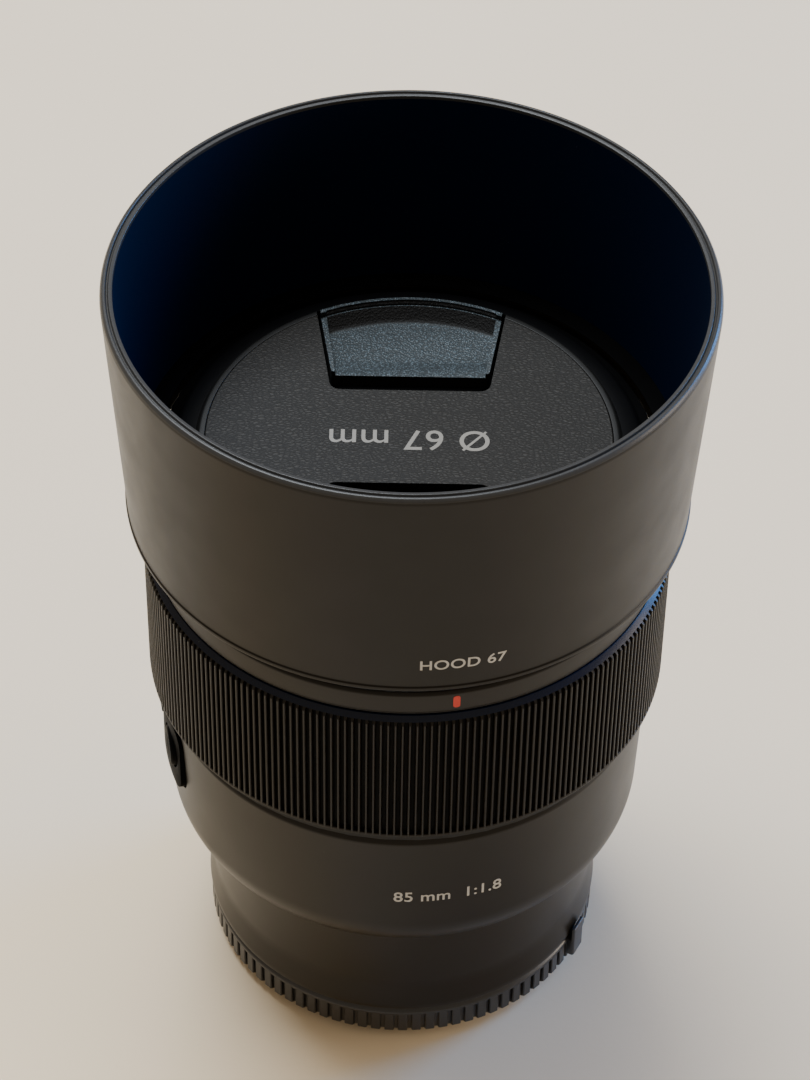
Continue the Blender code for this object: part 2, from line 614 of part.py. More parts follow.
def switch_panel():
    panel = ring("switch_panel", PANEL_RADIUS, PANEL_RADIUS - PANEL_THICKNESS,
                 PANEL_MIDDLE_Z - PANEL_HEIGHT, PANEL_MIDDLE_Z + PANEL_HEIGHT, 2 * RING_FACETS)
    combined(panel, panel_block("outline", SEAT_GAP, -PANEL_RADIUS - 1 * MM, 8 * MM), "INTERSECT")
    hole = moved(pin("hole", BUTTON_RADIUS + SEAT_GAP, 0, 8 * MM, 16),
                 facing_left(-PANEL_RADIUS - 1 * MM, -BUTTON_OFFSET, PANEL_MIDDLE_Z))
    cut(panel, hole)
    width, length = SWITCH_KNOB
    slot = prism("slot", rounded_rectangle(width + 2 * SEAT_GAP, length + SWITCH_TRAVEL + 2 * SEAT_GAP,
                                           0.6 * MM, 1), 8 * MM)
    cut(panel, moved(slot, facing_left(-PANEL_RADIUS - 1 * MM, SWITCH_OFFSET, PANEL_MIDDLE_Z)))
    return done(panel, finish("gloss_black", (0.008, 0.008, 0.009), 0.12))


def focus_hold_button():
    """A stepped round button. Its origin is where its flange rests, on its line of travel."""
    crown = PANEL_RADIUS + BUTTON_SEAT_X + 0.1 * MM
    button = turned("focus_hold_button", [
        (0, 0), (BUTTON_RADIUS + BUTTON_FLANGE, 0), (BUTTON_RADIUS + BUTTON_FLANGE, -BUTTON_FLANGE_THICKNESS),
        (0, -BUTTON_FLANGE_THICKNESS)], 16)
    joined(button, turned("stem", [
        (0, crown), (0.6 * BUTTON_RADIUS, crown), (BUTTON_RADIUS, crown - 0.3 * MM),
        (BUTTON_RADIUS, -BUTTON_FLANGE_THICKNESS / 2), (0, -BUTTON_FLANGE_THICKNESS / 2)], 16))
    button.location = (BUTTON_SEAT_X, -BUTTON_OFFSET, PANEL_MIDDLE_Z)
    button.rotation_euler.y = math.radians(-90)
    return done(button, finish("button_black", (0.012, 0.012, 0.013), 0.35))


def button_spring():
    """The button's return spring, at its pressed length, standing on the switch board."""
    spring = coil_spring("button_spring", BUTTON_SPRING_RADIUS, SPRING_WIRE, BUTTON_SPRING_LENGTH, 1.5)
    spring.location = (SWITCH_BOARD_X - SEAT_GAP, -BUTTON_OFFSET, PANEL_MIDDLE_Z)
    spring.rotation_euler.y = math.radians(-90)
    return done(spring, steel("spring_steel"))


def switch_board():
    thickness, width, height = SWITCH_BOARD
    board = box("switch_board", (SWITCH_BOARD_X, -width / 2, PANEL_MIDDLE_Z - height / 2),
                (SWITCH_BOARD_X + thickness, width / 2, PANEL_MIDDLE_Z + height / 2))
    return done(board, finish("circuit_board", (0.02, 0.12, 0.06), 0.4))


def af_mf_slider():
    """The switch's knob, with the plate that holds it behind the panel."""
    width, length = SWITCH_KNOB
    face = math.sqrt(PANEL_RADIUS ** 2 - SWITCH_OFFSET ** 2) + SWITCH_PROUD
    knob = moved(prism("af_mf_slider", rounded_rectangle(width, length, 0.5 * MM, 2), face + BUTTON_SEAT_X),
                 facing_left(-face, 0, 0))
    half_width, half_length = width / 2 + 0.8 * MM, length / 2 + 0.7 * MM
    joined(knob, box("plate", (BUTTON_SEAT_X - 0.1 * MM, -half_width, -half_length - 0.9 * MM),
                     (BUTTON_SEAT_X + 0.7 * MM, half_width, half_length)))
    knob.location = (0, SWITCH_OFFSET, PANEL_MIDDLE_Z + SWITCH_TRAVEL / 2)
    return done(knob, finish("slider_black", (0.014, 0.014, 0.015), 0.45))


# ---------------------------------------------------------------- focus ring and front rings

def focus_ring():
    inwards, down = FOCUS_RING_EDGE
    body = turned("focus_ring", [
        (FOCUS_RING_RADIUS - inwards, FOCUS_RING_TOP_Z), (FOCUS_RING_RADIUS, FOCUS_RING_TOP_Z - down),
        (FOCUS_RING_RADIUS, FOCUS_RING_Z), (FOCUS_RING_BORE, FOCUS_RING_Z),
        (FOCUS_RING_BORE, FOCUS_RING_TOP_Z)])
    return done(body, satin_black("focus_ring_black"))


def encoder_ring():
    inner = FOCUS_RING_BORE - SEAT_GAP / 3
    comb = ring("encoder_ring", inner + ENCODER_WALL, inner, ENCODER_Z, ENCODER_Z + ENCODER_HEIGHT)
    return done(comb, matte_black("encoder_black"))


def inner_barrel():
    low = INNER_BARREL_Z - INNER_SPIGOT
    seat = FRONT_CELL_SEAT_Z
    barrel = turned("inner_barrel", [
        (INNER_BARREL_RADIUS, FOCUS_RING_TOP_Z), (INNER_BARREL_RADIUS, INNER_BARREL_Z),
        (SPIGOT_RADIUS, INNER_BARREL_Z), (SPIGOT_RADIUS, low), (SPIGOT_BORE, low),
        (SPIGOT_BORE, seat), (INNER_BARREL_BORE, seat), (INNER_BARREL_BORE, FOCUS_RING_TOP_Z)])
    return done(barrel, finish("inner_alloy", (0.2, 0.2, 0.21), 0.5, 1.0))


def index_ring():
    spigot = INNER_BARREL_BORE - SEAT_GAP
    top = INDEX_RING_Z + INDEX_RING_LENGTH
    bore = spigot - 1.3 * MM
    body = turned("index_ring", [
        (INDEX_RING_RADIUS - INDEX_RING_EDGE, top), (INDEX_RING_RADIUS, top - INDEX_RING_EDGE),
        (INDEX_RING_RADIUS, INDEX_RING_Z), (spigot, INDEX_RING_Z), (spigot, INDEX_RING_Z - INDEX_SPIGOT),
        (bore, INDEX_RING_Z - INDEX_SPIGOT), (bore, top)])
    return done(body, satin_black("barrel_black"))


def front_ring():
    body = turned("front_ring", [
        (FRONT_RING_RADIUS - 0.3 * MM, FRONT_RIM_Z), (FRONT_RING_RADIUS, FRONT_RIM_Z - 0.3 * MM),
        (FRONT_RING_RADIUS, FRONT_RING_Z), (FRONT_STEP_RADIUS, FRONT_RING_Z),
        (FRONT_STEP_RADIUS, FRONT_RIM_Z - THREAD_DEPTH), (THREAD_RADIUS, FRONT_RIM_Z - THREAD_DEPTH),
        (THREAD_RADIUS, FRONT_RIM_Z)])
    high = FRONT_RIM_Z - FRONT_LUG_BELOW_RIM
    for angle in bayonet_angles(90):
        joined(body, sector("lug", FRONT_RING_RADIUS - 0.8 * MM, FRONT_RING_RADIUS + FRONT_LUG_REACH,
                            high - FRONT_LUG_HEIGHT, high, angle, HOOD_LUG_DEGREES))
    return done(body, satin_black("front_ring_black"))


def name_bezel():
    low = FRONT_RIM_Z - THREAD_DEPTH + SEAT_GAP
    inner = GLASSES["lens_element_1"][0] + 0.2 * MM
    bezel = turned("name_bezel", [
        (THREAD_RADIUS - SEAT_GAP, low + BEZEL_THICKNESS), (THREAD_RADIUS - SEAT_GAP, low),
        (inner, low), (inner, low + BEZEL_THICKNESS / 2)], CELL_FACETS)
    return done(bezel, satin_black("bezel_black"))


def lens_hood():
    groove_top = HOOD_Z + HOOD_GROOVE
    lip_top = groove_top + HOOD_LIP
    foot_inner = HOOD_FOOT_RADIUS - HOOD_WALL
    lean = (HOOD_MOUTH_RADIUS - HOOD_FOOT_RADIUS) / HOOD_LENGTH
    edge = 0.4 * MM
    hood = turned("lens_hood", [
        (HOOD_MOUTH_RADIUS - HOOD_WALL, HOOD_RIM_Z), (HOOD_MOUTH_RADIUS - edge, HOOD_RIM_Z),
        (HOOD_MOUTH_RADIUS, HOOD_RIM_Z - edge), (HOOD_FOOT_RADIUS, HOOD_Z + edge),
        (HOOD_FOOT_RADIUS - edge, HOOD_Z), (HOOD_GROOVE_RADIUS, HOOD_Z),
        (HOOD_GROOVE_RADIUS, groove_top), (HOOD_LIP_RADIUS, groove_top), (HOOD_LIP_RADIUS, lip_top),
        (foot_inner + lean * (lip_top - HOOD_Z), lip_top)])
    for angle in bayonet_angles(90):
        joined(hood, sector("lug", HOOD_LIP_RADIUS, HOOD_GROOVE_RADIUS + 1 * MM, HOOD_Z + 0.3 * MM,
                            HOOD_Z + 0.3 * MM + HOOD_LUG_HEIGHT, angle, HOOD_LUG_DEGREES))
    return done(hood, finish("hood_black", (0.02, 0.018, 0.016), 0.5))


# ---------------------------------------------------------------- front cap
# The cap's pieces are built about their own axis: z = 0 is the seat, the two latches lie along +Y and -Y.

CAP_SKIRT_RADIUS = THREAD_RADIUS - CAP_SKIRT_GAP
CAP_SKIRT_BORE = CAP_SKIRT_RADIUS - CAP_SKIRT_WALL
BACK_TOP = -CAP_SKIRT_DEPTH + CAP_BACK_THICKNESS + 0.1 * MM
LATCH_BOTTOM = BACK_TOP + SEAT_GAP
TIP_TOP = LATCH_BOTTOM + LATCH_TIP[1]


GRIP_LEAN = (GRIP_HALF_WIDTH_OUT - GRIP_HALF_WIDTH_IN) / (CAP_FACE_RADIUS - GRIP_INNER_EDGE)


def grip_outline(gap, inner_edge, outer_radius):
    """The slanted outline of a finger recess, on the +Y side, narrower by a gap on each side."""
    half_in = GRIP_HALF_WIDTH_IN - gap + GRIP_LEAN * (inner_edge - GRIP_INNER_EDGE)
    half_out = GRIP_HALF_WIDTH_OUT - gap
    side = math.degrees(math.asin(half_out / outer_radius))
    return [(-half_in, inner_edge), (half_in, inner_edge)] + arc(outer_radius, 90 - side, 90 + side, 6)


def front_cap(parent):
    plate_low = CAP_RISE - CAP_PLATE
    cap = turned("front_cap", [
        (0, CAP_RISE), (CAP_FACE_RADIUS - 0.4 * MM, CAP_RISE), (CAP_FACE_RADIUS + 0.5 * MM, CAP_RISE - 0.9 * MM),
        (CAP_RADIUS - 0.6 * MM, CAP_RIM + 0.6 * MM), (CAP_RADIUS, CAP_RIM), (CAP_RADIUS, 0),
        (CAP_SKIRT_RADIUS, 0), (CAP_SKIRT_RADIUS, -CAP_SKIRT_DEPTH), (CAP_SKIRT_BORE, -CAP_SKIRT_DEPTH),
        (CAP_SKIRT_BORE, plate_low), (0, plate_low)])
    for side in (1, -1):
        turn = Matrix.Rotation(0 if side == 1 else math.pi, 4, "Z")
        recess = prism("recess", grip_outline(0, GRIP_INNER_EDGE, CAP_FACE_RADIUS), 2 * CAP_RISE)
        cut(cap, moved(recess, turn @ Matrix.Translation((0, 0, plate_low - CAP_RISE))))
        half = LATCH_TIP[0] / 2 + SEAT_GAP
        window = box("window", (-half, CAP_SKIRT_BORE - 2 * MM, LATCH_BOTTOM - SEAT_GAP),
                     (half, CAP_RADIUS + 2 * MM, TIP_TOP + SEAT_GAP))
        cut(cap, moved(window, turn))
    return done(cap, finish("cap_black", (0.028, 0.028, 0.027), 0.55), parent)


def cap_back_plate(parent):
    plate = pin("cap_back_plate", CAP_SKIRT_BORE - SEAT_GAP, BACK_TOP - CAP_BACK_THICKNESS, BACK_TOP,
                CELL_FACETS)
    return done(plate, matte_black("cap_back_black"), parent)


def cap_latch(name, side, parent):
    """A sprung latch: a scooped finger grip, and a tip that passes out through the cap's skirt."""
    outer = CAP_FACE_RADIUS - SEAT_GAP
    floor = CAP_RISE - LATCH_FLOOR
    side_gap = SEAT_GAP + GRIP_LEAN * LATCH_TRAVEL
    block = prism(name, grip_outline(side_gap, LATCH_INNER_EDGE, outer), CAP_RISE - 0.1 * MM - LATCH_BOTTOM)
    moved(block, Matrix.Translation((0, 0, LATCH_BOTTOM)))
    inside = LATCH_INNER_EDGE - 1 * MM
    step = floor + 1.2 * MM
    above = CAP_RISE + 1 * MM
    scoop = turned("scoop", [
        (0, above), (outer - 0.5 * MM, above), (outer - 0.5 * MM, CAP_RISE - 0.2 * MM),
        (outer - 1.9 * MM, floor), (0, floor)], 2 * RING_FACETS)
    bank = prism("bank", [
        (inside, step), (LATCH_INNER_EDGE + 0.6 * MM, step), (LATCH_INNER_EDGE + 4.4 * MM, floor - 0.1 * MM),
        (outer + 1 * MM, floor - 0.1 * MM), (outer + 1 * MM, above + 1 * MM), (inside, above + 1 * MM)], 40 * MM)
    along_x = Matrix.Translation((-20 * MM, 0, 0)) @ Matrix(((0, 0, 1, 0), (1, 0, 0, 0), (0, 1, 0, 0),
                                                             (0, 0, 0, 1)))
    combined(scoop, moved(bank, along_x), "INTERSECT")
    cut(block, scoop)
    tongue_half = GRIP_HALF_WIDTH_IN - 1 * MM
    joined(block, box("tongue", (-tongue_half, LATCH_INNER_EDGE - LATCH_TONGUE_LENGTH, LATCH_BOTTOM),
                      (tongue_half, LATCH_INNER_EDGE + 1 * MM, LATCH_BOTTOM + LATCH_TONGUE_THICKNESS)))
    half = LATCH_TIP[0] / 2
    tip = THREAD_RADIUS - SEAT_GAP
    reach = math.sqrt(tip ** 2 - half ** 2)
    joined(block, box("tip", (-half, outer - 4 * MM, LATCH_BOTTOM + 0.05 * MM), (half, reach, TIP_TOP)))
    if side == -1:
        moved(block, Matrix.Rotation(math.pi, 4, "Z"))
    return done(block, finish("latch_black", (0.035, 0.038, 0.04), 0.6), parent)


def cap_spring(name, side, parent):
    """A coil spring between the two latches' tongues, at its pressed length."""
    length = 2 * (LATCH_INNER_EDGE - LATCH_TONGUE_LENGTH - LATCH_TRAVEL - SEAT_GAP)
    spring = coil_spring(name, CAP_SPRING_RADIUS, SPRING_WIRE, length, 6)
    lay = Matrix.Translation((side * CAP_SPRING_OFFSET, -length / 2, LATCH_BOTTOM + CAP_SPRING_RADIUS + SPRING_WIRE))
    moved(spring, lay @ Matrix.Rotation(math.radians(-90), 4, "X"))
    return done(spring, steel("spring_steel"), parent)


# ---------------------------------------------------------------- glass and its cells

def element(name, edge_low, rings=3):
    """A glass with two curved faces. Its edge starts at the given height."""
    radius, edge, front, rear = GLASSES[name]
    steps = [i / rings for i in range(rings + 1)]
    top = [(radius * s, edge_low + edge + front * (1 - s * s)) for s in steps]
    bottom = [(radius * s, edge_low - rear * (1 - s * s)) for s in reversed(steps)]
    return done(turned(name, top + bottom, GLASS_FACETS), glass("optical_glass"))


def front_group():
    one, two, three = (GLASSES[f"lens_element_{n}"][0] + SEAT_GAP for n in (1, 2, 3))
    outer = GLASSES["lens_element_1"][0] + FRONT_CELL_WALL + SEAT_GAP
    top = FRONT_RIM_Z - THREAD_DEPTH - 2 * SEAT_GAP + 0.1 * MM
    first, second = top - FRONT_CELL_TOP_BORE, top - FRONT_CELL_TOP_BORE - FRONT_CELL_MIDDLE_BORE
    seat = FRONT_CELL_SEAT_Z + SEAT_GAP
    foot = seat - FRONT_CELL_FOOT
    lip_top = foot + 2.5 * MM
    flange = INNER_BARREL_BORE - SEAT_GAP
    neck = SPIGOT_BORE - RUN_GAP - 1.8 * MM
    cell = turned("front_group_cell", [
        (outer, top), (outer, seat + FRONT_CELL_FLANGE), (flange, seat + FRONT_CELL_FLANGE), (flange, seat),
        (neck, seat), (neck, foot), (three - GLASS_LIP, foot), (three - GLASS_LIP, lip_top),
        (three, lip_top), (three, second), (two, second), (two, first), (one, first), (one, top)],
        CELL_FACETS)
    done(cell, matte_black("cell_black"))
    element("lens_element_1", first + SEAT_GAP)
    element("lens_element_2", second + SEAT_GAP)
    rear_glass_low = lip_top + SEAT_GAP
    element("lens_element_4", rear_glass_low)
    element("lens_element_3", rear_glass_low + GLASSES["lens_element_4"][1] + CEMENT_GAP)


def rear_group():
    bottom = FLANGE_TOP_Z + SEAT_GAP
    flange_z = TAIL_LEDGE_Z + TAIL_LEDGE + SEAT_GAP
    flange = TAIL_BORE - SEAT_GAP
    bores = [GLASSES[f"lens_element_{n}"][0] + SEAT_GAP for n in (9, 8, 7, 6)]
    lip_z = bottom + REAR_CELL_LIP
    levels = [lip_z]
    for step in REAR_BORE_STEPS:
        levels.append(levels[-1] + step)
    inside = [(bores[0] - GLASS_LIP, bottom), (bores[0] - GLASS_LIP, lip_z)]
    for bore, low, high in zip(bores, levels, levels[1:] + [REAR_HEAD_TOP_Z]):
        inside += [(bore, low), (bore, high)]
    cell = turned("rear_group_cell", [
        (REAR_CELL_HEAD_RADIUS, REAR_HEAD_TOP_Z), (REAR_CELL_HEAD_RADIUS, REAR_HEAD_Z),
        (REAR_CELL_RADIUS, REAR_HEAD_Z), (REAR_CELL_RADIUS, flange_z + REAR_CELL_FLANGE),
        (flange, flange_z + REAR_CELL_FLANGE), (flange, flange_z), (REAR_CELL_RADIUS, flange_z),
        (REAR_CELL_RADIUS, bottom), *inside], CELL_FACETS)
    done(cell, matte_black("cell_black"))
    for number, level in zip((9, 8, 7, 6), levels):
        element(f"lens_element_{number}", level + SEAT_GAP)
    board_z = flange_z + REAR_CELL_FLANGE + 4 * SEAT_GAP
    board = ring("main_board", TAIL_BORE - SEAT_GAP, REAR_CELL_RADIUS + RUN_GAP, board_z,
                 board_z + BOARD_THICKNESS, CELL_FACETS)
    done(board, finish("circuit_board", (0.02, 0.12, 0.06), 0.4))


# ---------------------------------------------------------------- focus carriage

def focus_carriage():
    radius = GLASSES["lens_element_5"][0] + SEAT_GAP
    top = CARRIAGE_Z + CARRIAGE_HEIGHT
    seat = CARRIAGE_Z + CARRIAGE_LIP
    carriage = turned("focus_carriage", [
        (CARRIAGE_RADIUS, top), (CARRIAGE_RADIUS, CARRIAGE_Z), (radius - GLASS_LIP, CARRIAGE_Z),
        (radius - GLASS_LIP, seat), (radius, seat), (radius, top)], CELL_FACETS)
    low = CARRIAGE_Z + (CARRIAGE_HEIGHT - EYE_HEIGHT) / 2
    for side in (1, -1):
        near, far = side * (CARRIAGE_RADIUS - 1 * MM), side * (ROD_CIRCLE + EYE_REACH)
        eye = box("eye", (min(near, far), -EYE_WIDTH / 2, low), (max(near, far), EYE_WIDTH / 2, low + EYE_HEIGHT))
        joined(carriage, eye)
        hole = pin("hole", ROD_RADIUS + RUN_GAP, low - 1 * MM, low + EYE_HEIGHT + 1 * MM)
        cut(carriage, moved(hole, Matrix.Translation((side * ROD_CIRCLE, 0, 0))))
    done(carriage, matte_black("carriage_black"))
    element("lens_element_5", seat + SEAT_GAP)


def guide_rods():
    for number, side in ((1, 1), (2, -1)):
        rod = pin(f"guide_rod_{number}", ROD_RADIUS, REAR_HEAD_TOP_Z + SEAT_GAP, IRIS_BASE_Z - SEAT_GAP)
        moved(rod, Matrix.Translation((side * ROD_CIRCLE, 0, 0)))
        done(rod, steel("rod_steel"))


def linear_motors():
    """Two steel yokes on +Y and -Y, each with the carriage's coil round its inner leg."""
    low = REAR_HEAD_TOP_Z + SEAT_GAP
    leg_out = YOKE_LEG_RADIUS + YOKE_PLATE
    plate_in = leg_out + YOKE_OPENING
    coil_low = CARRIAGE_Z + (CARRIAGE_HEIGHT - COIL_HEIGHT) / 2
    for number, turn in ((1, 0), (2, math.pi)):
        rotate = Matrix.Rotation(turn, 4, "Z")
        yoke = box(f"motor_yoke_{number}", (-YOKE_WIDTH / 2, YOKE_LEG_RADIUS, low),
                   (YOKE_WIDTH / 2, plate_in + YOKE_PLATE, low + MOTOR_LENGTH))
        cut(yoke, box("slot", (-YOKE_WIDTH, leg_out, low + YOKE_PLATE),
                      (YOKE_WIDTH, plate_in, low + 2 * MOTOR_LENGTH)))
        for side in (1, -1):
            inner, outer = sorted((side * YOKE_LEG_WIDTH / 2, side * YOKE_WIDTH))
            cut(yoke, box("side", (inner, YOKE_LEG_RADIUS - 1 * MM, low + YOKE_PLATE + 0.1 * MM),
                          (outer, leg_out + 1 * MM, low + 2 * MOTOR_LENGTH)))
        done(moved(yoke, rotate), steel("yoke_steel"))
        hole_x, hole_in, hole_out = YOKE_LEG_WIDTH / 2 + RUN_GAP, YOKE_LEG_RADIUS - RUN_GAP, leg_out + RUN_GAP
        coil = box(f"motor_coil_{number}", (-hole_x - COIL_WALL, hole_in - COIL_WALL, coil_low),
                   (hole_x + COIL_WALL, hole_out + COIL_WALL, coil_low + COIL_HEIGHT))
        cut(coil, box("hole", (-hole_x, hole_in, coil_low - 1 * MM),
                      (hole_x, hole_out, coil_low + COIL_HEIGHT + 1 * MM)))
        done(moved(coil, rotate), finish("copper_wire", (0.6, 0.27, 0.12), 0.35, 1.0))


# ---------------------------------------------------------------- iris

def iris():
    base_top = IRIS_BASE_Z + IRIS_BASE_THICKNESS
    ring_z = base_top + SEAT_GAP
    blades_z = ring_z + IRIS_RING_THICKNESS + SEAT_GAP
    rim_top = blades_z + IRIS_BLADES * BLADE_PITCH
    rim_bore = IRIS_RIM_RADIUS - IRIS_RIM_WALL
    flange = SPIGOT_BORE - SEAT_GAP
    base = turned("iris_base", [
        (IRIS_RIM_RADIUS, rim_top), (IRIS_RIM_RADIUS, base_top), (flange, base_top), (flange, IRIS_BASE_Z),
        (IRIS_OPEN_RADIUS, IRIS_BASE_Z), (IRIS_OPEN_RADIUS, base_top), (rim_bore, base_top),
        (rim_bore, rim_top)], CELL_FACETS)
    done(base, matte_black("iris_black"))
    drive = ring("iris_drive_ring", rim_bore - RUN_GAP, IRIS_OPEN_RADIUS + 1.5 * MM, ring_z,
                 ring_z + IRIS_RING_THICKNESS, CELL_FACETS)
    done(drive, matte_black("iris_black"))
    cover = ring("iris_cover", IRIS_RIM_RADIUS, IRIS_OPEN_RADIUS, rim_top + SEAT_GAP,
                 rim_top + SEAT_GAP + IRIS_RING_THICKNESS, CELL_FACETS)
    done(cover, matte_black("iris_black"))
    for i in range(IRIS_BLADES):
        iris_blade(i, blades_z + i * BLADE_PITCH)
    motor = pin("iris_motor", IRIS_MOTOR_RADIUS, -IRIS_MOTOR_LENGTH, 0)
    turn = math.radians(IRIS_MOTOR_DEGREES)
    motor.location = (IRIS_MOTOR_CIRCLE * math.cos(turn), IRIS_MOTOR_CIRCLE * math.sin(turn),
                      IRIS_BASE_Z - SEAT_GAP)
    done(motor, steel("motor_steel"))


def iris_blade(index, low):
    """A curved blade that lies clear of the opening. Its origin is on its own pivot."""
    outline = arc(BLADE_OUTER_RADIUS, -3, BLADE_DEGREES - 6, 6)
    outline += arc(BLADE_INNER_RADIUS, BLADE_DEGREES, 2, 6)
    blade = prism(f"iris_blade_{index + 1}", outline, BLADE_THICKNESS)
    moved(blade, Matrix.Translation((-BLADE_PIVOT_RADIUS, 0, 0)))
    turn = 2 * math.pi * index / IRIS_BLADES
    blade.location = (BLADE_PIVOT_RADIUS * math.cos(turn), BLADE_PIVOT_RADIUS * math.sin(turn), low)
    blade.rotation_euler.z = turn
    return done(blade, matte_black("blade_black"))


def build():
    for obj in list(bpy.data.objects):
        bpy.data.objects.remove(obj)
    rear_cap()
    mount_flange()
    mount_screws()
    contact_block()
    rear_baffle()
    tail_barrel()
    main_barrel()
    switch_panel()
    focus_hold_button()
    button_spring()
    switch_board()
    af_mf_slider()
    encoder_ring().parent = focus_ring()
    inner_barrel()
    index_ring()
    front_ring()
    name_bezel()
    lens_hood()
    cap_axis = empty("front_cap_axis", (0, 0, CAP_SEAT_Z), -CAP_TURN_DEGREES)
    front_cap(cap_axis)
    cap_back_plate(cap_axis)
    cap_latch("cap_latch_far", 1, cap_axis)
    cap_latch("cap_latch_near", -1, cap_axis)
    cap_spring("cap_spring_right", 1, cap_axis)
    cap_spring("cap_spring_left", -1, cap_axis)
    front_group()
    rear_group()
    focus_carriage()
    guide_rods()
    linear_motors()
    iris()


build()
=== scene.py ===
"""A prime camera lens that stands on its rear cap, with its hood and its front cap fitted.

Sizes are in millimetres until a mesh is made. Radii are measured from the optical axis, which is Z.
"""

import json
import math

import bmesh
import bpy
from mathutils import Matrix, Vector


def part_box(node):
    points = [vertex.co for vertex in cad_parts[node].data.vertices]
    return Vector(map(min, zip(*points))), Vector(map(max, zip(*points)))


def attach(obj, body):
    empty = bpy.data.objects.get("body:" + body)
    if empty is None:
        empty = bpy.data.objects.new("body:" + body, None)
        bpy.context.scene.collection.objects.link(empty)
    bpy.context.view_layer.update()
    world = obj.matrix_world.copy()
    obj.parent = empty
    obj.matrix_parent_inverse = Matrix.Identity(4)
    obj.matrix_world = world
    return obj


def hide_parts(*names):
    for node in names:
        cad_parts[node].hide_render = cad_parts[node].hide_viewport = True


MM = 0.001

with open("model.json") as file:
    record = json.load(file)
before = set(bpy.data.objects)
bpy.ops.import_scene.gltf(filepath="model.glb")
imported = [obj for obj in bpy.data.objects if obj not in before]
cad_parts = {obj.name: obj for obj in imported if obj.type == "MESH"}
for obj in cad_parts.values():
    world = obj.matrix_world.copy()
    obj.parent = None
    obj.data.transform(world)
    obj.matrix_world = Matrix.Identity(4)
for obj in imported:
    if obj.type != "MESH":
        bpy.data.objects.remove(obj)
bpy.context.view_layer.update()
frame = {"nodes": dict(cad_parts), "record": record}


# ---------------------------------------------------------------- finishes

class Value:
    """A number socket that takes part in Python arithmetic."""

    def __init__(self, finish, socket):
        self.finish, self.socket = finish, socket

    def _with(self, operation, first, second):
        made = self.finish.node("ShaderNodeMath", {"operation": operation}, {0: first, 1: second})
        return made.value()

    def __add__(self, other):
        return self._with("ADD", self, other)

    def __sub__(self, other):
        return self._with("SUBTRACT", self, other)

    def __mul__(self, other):
        return self._with("MULTIPLY", self, other)

    def __rsub__(self, other):
        return self._with("SUBTRACT", other, self)

    def __gt__(self, other):
        return self._with("GREATER_THAN", self, other)

    def __lt__(self, other):
        return self._with("LESS_THAN", self, other)

    __radd__, __rmul__ = __add__, __mul__


class Made:
    """A node that has been made in a finish's tree."""

    def __init__(self, finish, node):
        self.finish, self.made = finish, node

    def value(self, name=0):
        return Value(self.finish, self.made.outputs[name])

    def __getitem__(self, name):
        return self.made.outputs[name]


class Finish:
    """A material round one Principled shader, whose fixed numbers are set on its own sockets."""

    def __init__(self, name, color, roughness, **fixed):
        self.material = bpy.data.materials.new(name)
        self.material.use_nodes = True
        self.tree = self.material.node_tree
        self.shader = self.tree.nodes["Principled BSDF"]
        self.set("Base Color", (*color, 1.0))
        self.set("Roughness", roughness)
        for key, number in fixed.items():
            self.set(key.replace("_", " ").title().replace("Ior", "IOR"), number)
        self.place = self.node("ShaderNodeTexCoord", {}, {})["Object"]

    def set(self, name, what):
        """Gives one of the shader's sockets a number, a colour or a link."""
        self._feed(self.shader.inputs[name], what)

    def _feed(self, socket, what):
        what = what.socket if isinstance(what, Value) else what
        if isinstance(what, bpy.types.NodeSocket):
            self.tree.links.new(what, socket)
        else:
            socket.default_value = what

    def node(self, kind, settings, feeds):
        """Makes a node, sets its settings first, and then feeds its sockets."""
        node = self.tree.nodes.new(kind)
        for key, setting in settings.items():
            setattr(node, key, setting)
        for key, what in feeds.items():
            self._feed(node.inputs[key], what)
        return Made(self, node)

    def noise(self, grain, detail=2.0, roughness=0.5, place=None):
        """Cloudy values from 0 to 1, with lumps of about the given size in millimetres."""
        made = self.node("ShaderNodeTexNoise", {}, {
            "Vector": place or self.place, "Scale": 1 / (grain * MM), "Detail": detail,
            "Roughness": roughness})
        return made.value("Fac")

    def cells(self, size, feature="F1", place=None):
        """Distances inside irregular cells of about the given size in millimetres."""
        made = self.node("ShaderNodeTexVoronoi", {"feature": feature}, {
            "Vector": place or self.place, "Scale": 1 / (size * MM)})
        return made.value("Distance")

    def between(self, amount, low, high):
        """Stretches the part of a value from low to high to 0 to 1."""
        return self.node("ShaderNodeMapRange", {}, {
            "Value": amount, "From Min": low, "From Max": high}).value("Result")

    def mixed(self, amount, first, second):
        """A colour between two colours."""
        made = self.node("ShaderNodeMix", {"data_type": "RGBA"}, {
            0: amount, 6: (*first, 1.0) if isinstance(first, tuple) else first,
            7: (*second, 1.0) if isinstance(second, tuple) else second})
        return made[2]

    def bump(self, height, depth, strength=1.0):
        """Bumps whose height is a value from 0 to 1 times a depth in millimetres."""
        self.set("Normal", self.node("ShaderNodeBump", {}, {
            "Height": height, "Distance": depth * MM, "Strength": strength})["Normal"])


def dust(finish, color, amount=0.5):
    """Colour with sparse pale specks of dust."""
    lumps = finish.cells(2.6)
    picked = finish.noise(7.0, 1.0)
    speck = (lumps < 0.035) * (picked > 0.52)
    pale = tuple(min(1.0, c + 0.16) for c in color)
    return finish.mixed(speck * amount, color, pale)


